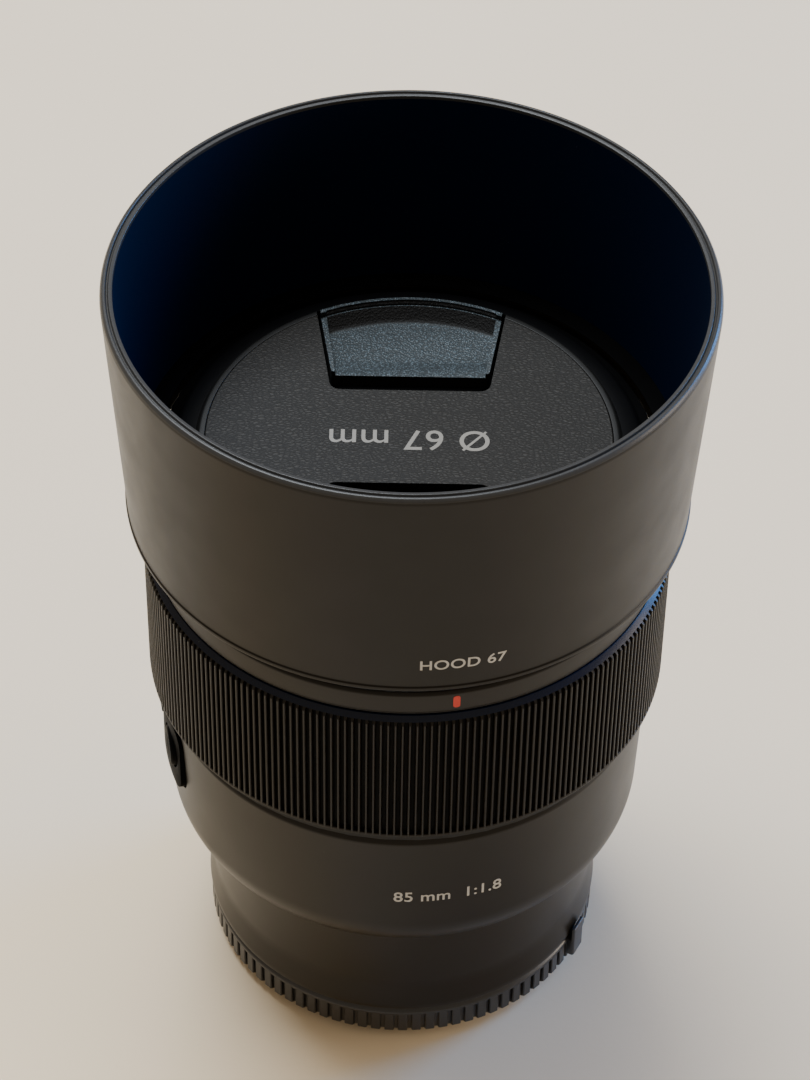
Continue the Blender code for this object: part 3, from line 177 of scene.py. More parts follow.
def anodised(name, color=(0.0044, 0.0026, 0.0005), roughness=0.36, grain=0.09, depth=0.006):
    """Fine satin anodised alloy: tiny grain, soft handling marks and a few specks of dust."""
    finish = Finish(name, color, roughness, specular_ior_level=0.27)
    marks = finish.noise(9.0, 3.0)
    fine = finish.noise(grain, 1.0)
    finish.set("Roughness", roughness + (marks - 0.5) * 0.12 + (fine - 0.5) * 0.10)
    warm = tuple(c * 1.35 for c in color)
    finish.set("Base Color", finish.mixed(finish.noise(0.5, 2.0), dust(finish, color), warm))
    finish.bump(fine, depth)
    return finish.material


def moulded(name, color=(0.006, 0.0048, 0.0034), roughness=0.44, grain=0.22, depth=0.012, gloss=0.4):
    """Spark-eroded moulded plastic: an even fine pebble."""
    finish = Finish(name, color, roughness, specular_ior_level=gloss)
    pebble = finish.noise(grain, 2.0, 0.55)
    finish.set("Roughness", roughness + (finish.noise(6.0, 2.0) - 0.5) * 0.16)
    finish.set("Base Color", finish.mixed(pebble, color, tuple(c * 1.5 for c in color)))
    finish.bump(pebble, depth)
    return finish.material


def flocked(name):
    """Deep black lining that swallows light, tinted blue as a painted sheen of the window light, with a
    little lint.
    """
    # the blue in this colour is a painted sheen of the window light on the lining
    color = (0.0005, 0.0046, 0.0190)
    finish = Finish(name, color, 0.75, specular_ior_level=0.06)
    fibre = finish.noise(0.12, 3.0, 0.7)
    finish.set("Base Color", dust(finish, color, 0.25))
    finish.bump(fibre, 0.03)
    return finish.material


def leather_grain(name):
    """The cap's face: shallow wrinkles, twice as long in X as in Y, with painted shade darkening the
    creases between them.
    """
    finish = Finish(name, (0.009, 0.008, 0.0066), 0.5, specular_ior_level=0.30)
    wander = finish.node("ShaderNodeTexNoise", {}, {
        "Vector": finish.place, "Scale": 1 / (1.4 * MM), "Detail": 2.0})["Color"]
    bent = finish.node("ShaderNodeVectorMath", {"operation": "MULTIPLY_ADD"}, {
        0: wander, 1: (0.0009, 0.0007, 0.0007), 2: finish.place})["Vector"]
    long = finish.node("ShaderNodeVectorMath", {"operation": "MULTIPLY"}, {
        0: bent, 1: (0.5, 1.0, 1.0)})["Vector"]
    crease = finish.between(finish.cells(0.42, "DISTANCE_TO_EDGE", place=long), 0.0, 0.35)
    pores = finish.noise(0.3, 3.0, 0.6, place=long)
    # crease is 0 in the creases, so the darker colour there is painted shade
    finish.set("Base Color", finish.mixed(crease * (pores + 0.35), (0.0030, 0.0024, 0.0017),
                                          (0.0150, 0.0129, 0.0100)))
    finish.set("Roughness", 0.66 - crease * 0.16 + (pores - 0.5) * 0.1)
    finish.bump(crease * 0.6 + pores * 0.4, 0.05)
    return finish.material


def speckled(name):
    """The latches' grip: a dense fine texture on the floor, which is painted pale as a painted reflection
    of the light from above, and smooth walls round it darkened with painted shade by their slope.
    """
    finish = Finish(name, (0.02, 0.024, 0.027), 0.5, specular_ior_level=0.45)
    normal = finish.node("ShaderNodeTexCoord", {}, {})["Normal"]
    upright = finish.node("ShaderNodeSeparateXYZ", {}, {"Vector": normal}).value("Z")
    # faces that point up get the pale painted highlight; steeper walls get near-black painted shade
    level_painted_lit = finish.between(upright, 0.90, 0.985)
    coarse = finish.between(finish.noise(0.5, 2.0), 0.3, 0.7)
    points = finish.between(finish.cells(0.34), 0.6, 0.1)
    # the pale blue-grey is a painted reflection of the light from above, laid over the speckle
    speckle_painted_highlight = finish.mixed(points * coarse, (0.0130, 0.0200, 0.0240), (0.110, 0.156, 0.190))
    finish.set("Base Color", finish.mixed(level_painted_lit, (0.0008, 0.0009, 0.0010), speckle_painted_highlight))
    finish.set("Roughness", 0.75 - level_painted_lit * 0.17 - points * level_painted_lit * 0.2)
    finish.bump(points * 0.6 + coarse * 0.4, 0.10)
    return finish.material


def smooth_black(name, color=(0.0009, 0.0009, 0.0011)):
    """Smooth, deep black moulded plastic with faint smears and a little dust."""
    finish = Finish(name, color, 0.5, specular_ior_level=0.012)
    smear = finish.noise(5.0, 4.0, 0.65)
    finish.set("Roughness", 0.44 + finish.between(smear, 0.5, 0.8) * 0.2)
    finish.set("Base Color", dust(finish, color, 0.4))
    return finish.material


def turned_metal(name, color=(0.56, 0.55, 0.53), roughness=0.26):
    """Metal turned on a lathe: fine rings round the optical axis."""
    finish = Finish(name, color, roughness, metallic=1.0)
    rings = finish.node("ShaderNodeTexWave", {"wave_type": "RINGS", "rings_direction": "Z"}, {
        "Vector": finish.place, "Scale": 1 / (0.9 * MM), "Distortion": 1.2, "Detail": 3.0}).value("Fac")
    finish.set("Roughness", roughness + (rings - 0.5) * 0.14)
    finish.set("Base Color", finish.mixed(finish.noise(3.0), color, tuple(c * 0.86 for c in color)))
    finish.bump(rings, 0.004)
    return finish.material


def winding(name):
    """Enamelled copper wire laid in close turns."""
    finish = Finish(name, (0.55, 0.22, 0.09), 0.3, metallic=1.0)
    turns = finish.node("ShaderNodeTexWave", {"wave_type": "BANDS", "bands_direction": "Z"}, {
        "Vector": finish.place, "Scale": 1 / (1.1 * MM)}).value("Fac")
    finish.set("Base Color", finish.mixed(turns, (0.28, 0.09, 0.03), (0.66, 0.30, 0.13)))
    finish.set("Roughness", 0.42 - turns * 0.16)
    finish.bump(turns, 0.08)
    return finish.material


def circuit(name):
    """Green solder mask over paler tracks."""
    finish = Finish(name, (0.01, 0.09, 0.045), 0.35, specular_ior_level=0.5)
    tracks = finish.node("ShaderNodeTexBrick", {}, {
        "Vector": finish.place, "Scale": 1 / (4 * MM), "Mortar Size": 0.06}).value("Fac")
    finish.set("Base Color", finish.mixed(tracks, (0.008, 0.075, 0.035), (0.03, 0.17, 0.07)))
    finish.set("Roughness", 0.4 - tracks * 0.15)
    finish.bump(tracks, 0.03)
    return finish.material


def coated_glass(name):
    """Clear optical glass with a faint tinted coating."""
    finish = Finish(name, (0.93, 0.97, 1.0), 0.02, transmission_weight=1.0, ior=1.6,
                    coat_weight=0.3, coat_roughness=0.02)
    finish.shader.inputs["Coat Tint"].default_value = (0.55, 0.75, 1.0, 1.0)
    finish.set("Roughness", finish.between(finish.noise(6.0, 3.0), 0.55, 0.95) * 0.05 + 0.01)
    return finish.material


def paint(name, color, roughness=0.5):
    """Printed or filled marking paint, slightly uneven."""
    finish = Finish(name, color, roughness)
    uneven = finish.noise(0.4, 3.0)
    finish.set("Base Color", finish.mixed(uneven, color, tuple(c * 0.78 for c in color)))
    finish.set("Roughness", roughness + (uneven - 0.5) * 0.2)
    return finish.material


# ---------------------------------------------------------------- shapes

def levels(node):
    """The lowest and highest level of a CAD node, in millimetres."""
    low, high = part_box(node)
    return low.z / MM, high.z / MM


def rounded(corners, steps=4):
    """Rounds an outline's corners. A corner is (radius, z), or (radius, z, fillet)."""
    points = []
    for i, corner in enumerate(corners):
        here = Vector(corner[:2])
        if len(corner) == 2:
            points.append(tuple(here))
            continue
        before, after = Vector(corners[i - 1][:2]), Vector(corners[(i + 1) % len(corners)][:2])
        to_before, to_after = before - here, after - here
        cut = min(corner[2], 0.45 * to_before.length, 0.45 * to_after.length)
        start, end = here + to_before.normalized() * cut, here + to_after.normalized() * cut
        for s in range(steps + 1):
            u = s / steps
            points.append(tuple((1 - u) ** 2 * start + 2 * u * (1 - u) * here + u * u * end))
    return points


def outward(bm, name):
    """Turns a closed bmesh into a mesh whose faces point outwards."""
    bmesh.ops.remove_doubles(bm, verts=bm.verts[:], dist=1e-7)
    bmesh.ops.recalc_face_normals(bm, faces=bm.faces[:])
    mesh = bpy.data.meshes.new(name)
    bm.to_mesh(mesh)
    bm.free()
    return mesh


def lathe(name, outline, facets=240):
    """Spins an outline round the optical axis. One that starts and ends on the axis is capped there."""
    bm = bmesh.new()
    on_axis = outline[0][0] == 0
    rows = []
    for radius, z in outline:
        if radius == 0:
            rows.append([bm.verts.new((0, 0, z * MM))] * facets)
            continue
        rows.append([bm.verts.new((radius * MM * math.cos(t), radius * MM * math.sin(t), z * MM))
                     for t in (2 * math.pi * i / facets for i in range(facets))])
    pairs = list(zip(rows, rows[1:])) + ([] if on_axis else [(rows[-1], rows[0])])
    for upper, lower in pairs:
        for i in range(facets):
            corners = (upper[i], upper[(i + 1) % facets], lower[(i + 1) % facets], lower[i])
            unique = list(dict.fromkeys(corners))
            if len(unique) > 2:
                bm.faces.new(unique)
    return outward(bm, name)


def prism(name, outline, low, high):
    """A straight solid with an outline of (x, y) points."""
    bm = bmesh.new()
    face = bm.faces.new([bm.verts.new((x * MM, y * MM, low * MM)) for x, y in outline])
    raised = bmesh.ops.extrude_face_region(bm, geom=[face])
    top = [v for v in raised["geom"] if isinstance(v, bmesh.types.BMVert)]
    bmesh.ops.translate(bm, verts=top, vec=(0, 0, (high - low) * MM))
    return outward(bm, name)


def arc(radius, start, end, steps):
    """Points on a circle, between two angles in degrees."""
    return [(radius * math.cos(t), radius * math.sin(t))
            for t in (math.radians(start + (end - start) * i / steps) for i in range(steps + 1))]


def both_sides(half):
    """An outline that is the same on both sides of the X axis, from the points of its +Y side."""
    return [(x, -y) for x, y in half] + half[::-1]


def rectangle(left, near, right, far):
    return [(left, near), (right, near), (right, far), (left, far)]


def sector(outer, inner, spread, steps):
    """The outline of a ring's part on the +Y side, that many degrees to each side."""
    return arc(outer, 90 - spread, 90 + spread, steps) + arc(inner, 90 + spread, 90 - spread, steps)


def round_rectangle(width, height, corner, steps=6):
    """A rectangle round the origin with rounded corners."""
    points = []
    for quarter, (sx, sy) in enumerate([(1, 1), (-1, 1), (-1, -1), (1, -1)]):
        points += [(sx * (width / 2 - corner) + x, sy * (height / 2 - corner) + y)
                   for x, y in arc(corner, 90 * quarter, 90 * quarter + 90, steps)]
    return points


def moved(x=0.0, y=0.0, z=0.0):
    """A matrix that moves by millimetres."""
    return Matrix.Translation((x * MM, y * MM, z * MM))


SIDEWAYS = Matrix(((0, 0, 1, 0), (1, 0, 0, 0), (0, 1, 0, 0), (0, 0, 0, 1)))  # X, Y, Z become Y, Z, X


def placed(mesh, matrix):
    """The same mesh, after a matrix has turned and moved it."""
    mesh.transform(matrix)
    return mesh


def wrapped(mesh, radius, lean=0.0):
    """Wraps a mesh round the -Y side: x runs round the axis, y along it and z outwards."""
    for v in mesh.vertices:
        turn = v.co.x / (radius * MM) - math.pi / 2
        out = radius * MM + v.co.z + lean * v.co.y
        v.co = (out * math.cos(turn), out * math.sin(turn), v.co.y)
    return mesh


def shown(name, data):
    """A new object in the scene with a mesh, a curve, a light or a camera."""
    obj = bpy.data.objects.new(name, data)
    bpy.context.scene.collection.objects.link(obj)
    return obj


def settled(obj):
    """The mesh of an object with its modifiers applied. The object and its own mesh are removed."""
    bpy.context.view_layer.update()
    mesh = bpy.data.meshes.new_from_object(obj.evaluated_get(bpy.context.evaluated_depsgraph_get()))
    bpy.data.objects.remove(obj)
    return mesh


def carved(mesh, *steps):
    """Applies Boolean steps, each an operation and a tool mesh."""
    obj = shown("stock", mesh)
    for operation, tool_mesh in steps:
        tool = shown("tool", tool_mesh)
        boolean = obj.modifiers.new("carve", "BOOLEAN")
        boolean.operation, boolean.object = operation, tool
        result = settled(obj)
        bpy.data.objects.remove(tool)
        obj = shown("stock", result)
    result = obj.data
    bpy.data.objects.remove(obj)
    return result


def eased(mesh, width, segments=3, angle=32):
    """Rounds a mesh's sharp edges."""
    obj = shown("stock", mesh)
    bevel = obj.modifiers.new("ease", "BEVEL")
    bevel.width, bevel.segments = width * MM, segments
    bevel.limit_method, bevel.angle_limit = "ANGLE", math.radians(angle)
    return settled(obj)


CAPITAL_SHARE = 0.7  # a capital's height as a share of the type size


def lettering(text, height, matrix, around=None, lean=0.0, bold=0.0):
    """Printed characters of a height, flat or wrapped around a radius, and put in place by the matrix."""
    curve = bpy.data.curves.new("print", "FONT")
    curve.body, curve.size = text, height / CAPITAL_SHARE * MM
    curve.align_x, curve.align_y = "CENTER", "CENTER"
    curve.extrude, curve.offset = 0.02 * MM, bold * MM
    curve.space_character = 1.04
    mesh = settled(shown("print", curve))
    if around is not None:
        wrapped(mesh, around, lean)
    return placed(mesh, matrix)


def evenly_lit(name, mesh):
    """An object whose large flat faces stay evenly lit, while its rounded edges take up the turn."""
    obj = shown(name, mesh)
    obj.modifiers.new("weigh", "WEIGHTED_NORMAL").keep_sharp = True
    return shown(name, settled(obj))


def piece(name, mesh, material, body, nodes=(), smooth=32, flat=False):
    """A finished piece: shaded, painted, on its body, and in place of the CAD nodes it stands for."""
    mesh.materials.clear()
    mesh.materials.append(material)
    mesh.shade_smooth()
    mesh.set_sharp_from_angle(angle=math.radians(smooth))
    obj = evenly_lit(name, mesh) if flat else shown(name, mesh)
    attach(obj, body)
    if nodes:
        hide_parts(*nodes)
    return obj


# ---------------------------------------------------------------- copies round the axis

def round_copies_tree():
    """Geometry Nodes that repeat a shape, already at its radius, evenly round the optical axis."""
    tree = bpy.data.node_groups.new("round_copies", "GeometryNodeTree")
    socket = {}
    for name, kind in (("Shape", "Object"), ("Copies", "Int"), ("Finish", "Material")):
        made = tree.interface.new_socket(name, in_out="INPUT", socket_type=f"NodeSocket{kind}")
        socket[name] = made.identifier
    tree.interface.new_socket("Geometry", in_out="OUTPUT", socket_type="NodeSocketGeometry")

    def node(kind, settings=None, **feeds):
        """Makes a node. A feed named _0 goes to the first socket, and so on."""
        made = tree.nodes.new(kind)
        for key, setting in (settings or {}).items():
            setattr(made, key, setting)
        for key, what in feeds.items():
            target = made.inputs[int(key[1:])] if key[0] == "_" else made.inputs[key.replace("_", " ")]
            if isinstance(what, bpy.types.NodeSocket):
                tree.links.new(what, target)
            else:
                target.default_value = what
        return made

    given = node("NodeGroupInput").outputs
    step = node("ShaderNodeMath", {"operation": "DIVIDE"}, _0=2 * math.pi, _1=given["Copies"])
    turn = node("ShaderNodeMath", {"operation": "MULTIPLY"},
                _0=node("GeometryNodeInputIndex").outputs[0], _1=step.outputs[0])
    rotation = node("FunctionNodeEulerToRotation",
                    Euler=node("ShaderNodeCombineXYZ", Z=turn.outputs[0]).outputs[0])
    copies = node("GeometryNodeInstanceOnPoints",
                  Points=node("GeometryNodePoints", Count=given["Copies"]).outputs[0],
                  Instance=node("GeometryNodeObjectInfo", Object=given["Shape"]).outputs["Geometry"],
                  Rotation=rotation.outputs[0])
    real = node("GeometryNodeRealizeInstances", Geometry=copies.outputs[0])
    painted = node("GeometryNodeSetMaterial", Geometry=real.outputs[0], Material=given["Finish"])
    node("NodeGroupOutput", Geometry=painted.outputs[0])
    return tree, socket


ROUND_COPIES, ROUND_COPIES_SOCKETS = round_copies_tree()


def round_copies(shape_mesh, copies, material):
    """A mesh of a shape repeated round the optical axis."""
    shape = shown("shape", shape_mesh)
    obj = shown("copies", bpy.data.meshes.new("copies"))
    repeat = obj.modifiers.new("repeat", "NODES")
    repeat.node_group = ROUND_COPIES
    repeat[ROUND_COPIES_SOCKETS["Shape"]] = shape
    repeat[ROUND_COPIES_SOCKETS["Copies"]] = copies
    repeat[ROUND_COPIES_SOCKETS["Finish"]] = material
    mesh = settled(obj)
    bpy.data.objects.remove(shape)
    return mesh


# ---------------------------------------------------------------- the lens's outer pieces

OUTER_FACETS = 288
SWITCH_SIDE = -39.0  # clear of the barrel on the side of the switches

BARREL_BLACK = anodised("barrel_anodised")
RING_BLACK = anodised("focus_ring_anodised", (0.0050, 0.0032, 0.0013), 0.36)
# near-black painted shade for the floor between the focus ring's ribs
KNURL_PAINTED_SHADE = moulded("knurl_floor_painted_shade", (0.0007, 0.0005, 0.0003), 0.6, 0.2, 0.01, 0.06)
PLASTIC_BLACK = moulded("moulded_plastic")
# near-black painted shade for ledges, slots and hollows
SHADE_BLACK = moulded("painted_shade_black", (0.0004, 0.0004, 0.0005), 0.85, 0.3, 0.02, 0.05)
PRINT_GREY = paint("marking_grey", (0.52, 0.50, 0.47), 0.55)


def hood():
    """The hood: a flared shell with a stepped rim painted lighter as a painted highlight, a flocked
    lining tinted blue as a painted sheen, and a ledge at its foot darkened with painted shade.
    """
    low, high = levels("lens_hood")
    foot, flared, step = 41.0, 43.2, high - 0.62
    shell = lathe("hood_shell", rounded([
        (41.6, high - 0.63), (43.15, high - 0.63), (flared, high - 1.0, 0.3), (41.06, low + 1.0, 0.1),
        (41.24, low + 0.8, 0.08), (41.24, low + 0.25, 0.15), (40.95, low, 0.15), (38.5, low, 0.3),
        (38.4, low + 4.4, 0.2), (36.65, low + 4.4, 0.2), (36.65, low + 6.2, 0.3),
        (39.72, low + 6.2, 0.1), (41.6, high - 0.9)], 6), OUTER_FACETS)
    rim = lathe("hood_rim", rounded([
        (41.38, step), (41.42, high - 0.12, 0.08), (41.95, high - 0.05, 0.1),
        (42.1, high - 0.42, 0.05), (42.28, high - 0.42, 0.05), (42.42, high - 0.02, 0.1),
        (42.8, high - 0.03, 0.15), (43.08, high - 0.4, 0.2), (43.15, step)], 6), OUTER_FACETS)
    # the rim's light grey is a painted highlight of the light on its top
    rim_painted_highlight = anodised("hood_rim_painted_highlight", (0.0280, 0.0275, 0.0265), 0.3, 0.09, 0.003)
    piece("hood_rim", rim, rim_painted_highlight, "lens_hood")
    satin = moulded("hood_satin", (0.0034, 0.0019, 0.0003), 0.36, 0.1, 0.006, 0.22)
    piece("hood_shell", shell, satin, "lens_hood", ["lens_hood"])
    lining = lathe("hood_lining", [
        (41.36, step), (41.55, high - 0.75), (39.66, low + 6.25), (39.42, low + 6.35)])
    piece("hood_lining", lining, flocked("hood_flock_painted_blue_sheen"), "lens_hood")
    ledge = lathe("hood_ledge", rounded([
        (39.5, low + 6.1), (36.7, low + 6.1), (36.7, low + 6.32, 0.1), (39.5, low + 6.32)]))
    # the ledge is painted near-black as painted shade at the foot of the lining
    piece("hood_ledge", ledge, SHADE_BLACK, "lens_hood")
    lean = (flared - foot) / (high - 1.0 - low)
    print_height = 5.4
    around = 41.02 + print_height * lean
    mark = lettering("HOOD 67", 1.9, moved(z=low + print_height), around, lean, 0.03)
    piece("hood_lettering", mark, PRINT_GREY, "lens_hood")


def focus_ring():
    """The focus ring: a core darkened with painted shade between a cut edge and a lip, with straight ribs
    all round it; the cut edge is painted blue as a painted glint.
    """
    low, high = levels("focus_ring")
    inside, top, root, foot, crest = 37.2, 37.9, 38.2, 38.3, 39.0
    core = lathe("focus_ring_core", [
        (inside, high - 0.4), (foot, high - 0.7), (foot, low + 0.4), (inside, low + 0.4)], OUTER_FACETS)
    # the core's near-black is painted shade between the ribs
    piece("focus_ring_core", core, KNURL_PAINTED_SHADE, "focus_ring", ["focus_ring"])
    edge = lathe("focus_ring_edge", rounded([
        (inside, high), (top, high, 0.12), (38.62, high - 0.72), (foot, high - 0.95),
        (inside, high - 0.95)]), OUTER_FACETS)
    # the edge's blue colour is a painted glint of the blue window light
    cut = anodised("ring_edge_painted_blue_glint", (0.0012, 0.0042, 0.0150), 0.26, 0.09, 0.002)
    piece("focus_ring_edge", edge, cut, "focus_ring")
    lip = lathe("focus_ring_lip", rounded([
        (root, low + 0.5), (38.9, low + 0.45, 0.12), (crest, low, 0.16), (inside, low),
        (inside, low + 0.5)]), OUTER_FACETS)
    piece("focus_ring_lip", lip, RING_BLACK, "focus_ring")
    rib_count = 238
    section = both_sides([(root, 0.29), (crest - 0.14, 0.19), (crest, 0.1)])
    rib = prism("rib", section, low + 0.3, high - 0.05)
    for v in rib.vertices:  # a rib's top follows the slope of the cut edge
        if v.co.z > (high - 1) * MM:
            v.co.z -= max(0.0, v.co.x - top * MM)
    ribs = round_copies(rib, rib_count, RING_BLACK)
    piece("focus_ring_ribs", ribs, RING_BLACK, "focus_ring", smooth=20)


def rear_cap():
    """The rear cap: a toothed cup with a lip, a pointer on its wall and three lugs inside."""
    high = levels("rear_cap")[1]
    lip_top = high - 2.0
    wall, crest = 30.25, 30.85
    satin = moulded("rear_cap_satin", (0.0145, 0.0138, 0.0142), 0.36, 0.2, 0.01, 0.6)
    cup = lathe("rear_cap_body", rounded([
        (0, 1.9), (25.4, 1.9, 0.3), (25.65, lip_top - 0.2, 0.15), (26.0, lip_top, 0.1),
        (30.1, lip_top, 0.15), (crest, lip_top - 0.75, 0.25), (crest, lip_top - 1.25, 0.12),
        (wall, lip_top - 1.35), (wall, 2.0, 0.3), (28.65, 0.0, 0.3), (26.8, 0, 0.2),
        (26.3, 0.5, 0.1), (0, 0.5)]))
    piece("rear_cap_body", cup, satin, "rear_cap", ["rear_cap"])

    tooth_count = 90
    section = both_sides([(30.0, 0.78), (30.72, 0.74), (crest, 0.6)])
    tooth = prism("tooth", section, 1.75, lip_top - 1.2)
    for v in tooth.vertices:  # the crest of a tooth ends higher than its root
        if v.co.z < 4 * MM and v.co.x > 30.5 * MM:
            v.co.z += 0.5 * MM
    teeth = round_copies(tooth, tooth_count, satin)
    piece("rear_cap_teeth", teeth, satin, "rear_cap", smooth=20)

    half, pointer_turn = 1.7, 51.9 - 90
    pointer = prism("mark", both_sides([(29.9, half), (31.7, half), (31.95, half - 0.25)]), 3.0, high)
    heel = prism("heel", rectangle(28.0, -half - 1, 31.42, half + 1), lip_top - 0.6, high + 1)
    pointer = eased(carved(pointer, ("DIFFERENCE", heel)), 0.18)
    turn = Matrix.Rotation(math.radians(pointer_turn), 4, "Z")
    piece("rear_cap_mark", placed(pointer, turn), satin, "rear_cap")

    lug = eased(prism("lug", sector(26.0, 22.3, 22, 10), 4.9, 6.4), 0.2)
    piece("rear_cap_lugs", round_copies(lug, 3, satin), satin, "rear_cap")


def tail():
    """The narrow tail of the barrel, with a step inside it."""
    low, high = levels("tail_barrel")
    shell = lathe("tail_shell", rounded([
        (29.2, high), (29.2, high - 4.0), (30.5, high - 4.0), (30.35, low + 5.2, 1.2),
        (31.05, low + 0.8, 0.3), (31.05, low, 0.2), (30.2, low), (30.2, low + 2.0), (24.6, low + 2.0),
        (24.6, low + 5.0), (28.2, low + 5.0), (28.2, high)], 6))
    satin = anodised("tail_anodised", (0.0105, 0.0072, 0.0036), 0.33)
    piece("tail_shell", shell, satin, "lens_barrel", ["tail_barrel"])


def panel_cutter(shrink):
    """A block along X with the outline of the switch panel."""
    low, high = levels("switch_panel")
    width, height, margin, corner = 18.0, high - low, 0.6, 3.0
    outline = round_rectangle(width + margin - 2 * shrink, height + margin - 2 * shrink, corner - shrink)
    return placed(prism("cutter", outline, 0, 9), moved(SWITCH_SIDE, 0, (low + high) / 2) @ SIDEWAYS)


def main_barrel():
    """The main barrel: bevelled at the top, round at the shoulder, and cut out for the switch panel."""
    low, high = levels("main_barrel")
    widest, shoulder_radius, shoulder_sweep, steps = 36.4, 9.7, 62, 24
    shoulder = []
    for i in range(steps + 1):
        turn = math.radians(shoulder_sweep * i / steps)
        drop = math.sin(math.radians(shoulder_sweep)) - math.sin(turn)
        shoulder.append((widest - shoulder_radius * (1 - math.cos(turn)), low + shoulder_radius * drop))
    foot = shoulder[-1][0]
    shell = lathe("barrel_shell", rounded([
        (36.2, high, 0.2), (37.0, high - 1.3, 0.25), *shoulder[:-1], (foot, low, 0.3), (29.5, low),
        (29.5, low + 1.8), (34.6, low + 10.4), (35.2, high)]), OUTER_FACETS)
    shell = carved(shell, ("DIFFERENCE", panel_cutter(0)))
    piece("barrel_shell", shell, BARREL_BLACK, "lens_barrel", ["main_barrel"], 28)
    text = lettering("85 mm  1:1.8", 2.1, moved(z=high - 13.6), 36.66, bold=0.03)
    piece("barrel_lettering", text, PRINT_GREY, "lens_barrel")


def switches():
    """The panel let into the barrel, with the round hold button and the mode knob in its slot."""
    low, high = levels("switch_panel")
    middle = (low + high) / 2
    button_low, button_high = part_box("focus_hold_button")
    knob_low, knob_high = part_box("af_mf_slider")
    button_y = (button_low.y + button_high.y) / 2 / MM
    knob_y = (knob_low.y + knob_high.y) / 2 / MM
    plate_outer, plate_inner = 37.4, 35.4
    plate = lathe("plate", [(plate_outer, high + 1), (plate_outer, low - 1), (plate_inner, low - 1),
                            (plate_inner, high + 1)], 360)
    hole = placed(prism("hole", arc(3.5, 0, 354, 59), 0, 9),
                  moved(SWITCH_SIDE, button_y, middle) @ SIDEWAYS)
    slot = placed(prism("slot", round_rectangle(3.6, 8.2, 0.6), 0, 9),
                  moved(SWITCH_SIDE, knob_y, middle) @ SIDEWAYS)
    plate = carved(plate, ("INTERSECT", panel_cutter(0.3)), ("DIFFERENCE", hole), ("DIFFERENCE", slot))
    piece("switch_plate", eased(plate, 0.3, 4, 50), smooth_black("panel_black"), "lens_barrel",
          ["switch_panel"])
    floor = placed(prism("floor", round_rectangle(5.0, 9.6, 0.6), 0, 0.3),
                   moved(-plate_inner, knob_y, middle) @ SIDEWAYS)
    piece("switch_floor", floor, PLASTIC_BLACK, "lens_barrel")

    seat = button_high.x / MM - 0.8
    crown = -37.5 - seat
    button = lathe("button", rounded([
        (0, -crown - 0.28), (1.2, -crown - 0.22), (2.3, -crown, 0.3), (2.9, -crown, 0.3),
        (3.2, -crown - 0.35, 0.2), (3.2, 0), (3.9, 0, 0.1), (3.9, -0.8), (0, -0.8)]), 96)
    stand = moved(seat, button_y, middle) @ Matrix.Rotation(-math.pi / 2, 4, "Y")
    button_satin = moulded("button_satin", (0.0018, 0.0018, 0.0020), 0.5, 0.15, 0.004, 0.03)
    piece("hold_button", placed(button, stand), button_satin, "focus_hold_button",
          ["focus_hold_button"])

    knob = prism("knob", round_rectangle(3.0, 4.6, 0.5), 0, 4.4)
    groove_half = 0.16
    grooves = [prism("groove", rectangle(-1.7, y - groove_half, 1.7, y + groove_half), -1, 0.28)
               for y in (-1.5, -0.9, -0.3, 0.3, 0.9, 1.5)]
    knob = eased(carved(knob, *[("DIFFERENCE", groove) for groove in grooves]), 0.08, 2)
    knob = placed(knob, moved(knob_low.x / MM, knob_y, middle + 1.5) @ SIDEWAYS)
    knob_satin = moulded("knob_satin", (0.003, 0.003, 0.0033), 0.42, 0.15, 0.006, 0.1)
    piece("mode_knob", knob, knob_satin, "af_mf_slider", ["af_mf_slider"])


def front_rings():
    """The index ring with its coloured mark, and the threaded front ring with the hood's three lugs."""
    low, high = levels("index_ring")
    body_low = low + 2.3
    outer, inner = 38.0, 33.6
    ring = lathe("index_ring_body", rounded([
        (37.55, high, 0.2), (outer, high - 0.5, 0.25), (outer, body_low + 0.45, 0.1),
        (37.9, body_low + 0.3, 0.1), (37.9, body_low, 0.15), (34.9, body_low), (34.9, low), (inner, low),
        (inner, high)]), OUTER_FACETS)
    piece("index_ring_body", ring, BARREL_BLACK, "lens_barrel", ["index_ring"])
    mark = wrapped(prism("index_mark", round_rectangle(1.0, 2.3, 0.42), -0.05, 0.04), outer)
    orange = paint("index_orange", (0.62, 0.022, 0.001), 0.4)
    piece("index_mark", placed(mark, moved(z=(body_low + high) / 2)), orange, "lens_barrel")

    low, high = levels("front_ring")
    pitch, turns, thread_crest, thread_root = 0.75, 9, 33.3, 33.72
    threads = []
    for i in range(turns):
        z = high - 0.5 - pitch * i
        threads += [(thread_crest, z), (thread_root, z - 0.37)]
    ring = lathe("filter_ring", rounded([
        (36.0, high, 0.2), (36.2, high - 0.3, 0.1), (36.2, low), (31.6, low), (31.6, low + 2.0),
        (thread_crest, low + 2.0)]) + [*reversed(threads), (thread_crest, high - 0.2)])
    piece("filter_ring", ring, SHADE_BLACK, "lens_barrel", ["front_ring"])
    lug = eased(prism("lug", sector(38.0, 35.6, 18, 12), high - 3.6, high - 2.2), 0.15)
    piece("hood_lugs", round_copies(lug, 3, PLASTIC_BLACK), PLASTIC_BLACK, "lens_barrel")


# ---------------------------------------------------------------- front cap
# Its pieces are made round their own axis, with the two latches on +Y and -Y, and then set in place.

CAP_FACE = 3.5  # the height of the cap's face over its seat
CAP_TURN = -11.1
CAP_SEAT = levels("front_cap")[1] - CAP_FACE
CAP_PLACE = moved(z=CAP_SEAT) @ Matrix.Rotation(math.radians(CAP_TURN), 4, "Z")
HALF_TURN = Matrix.Rotation(math.pi, 4, "Z")
GRIP_INNER = 9.7


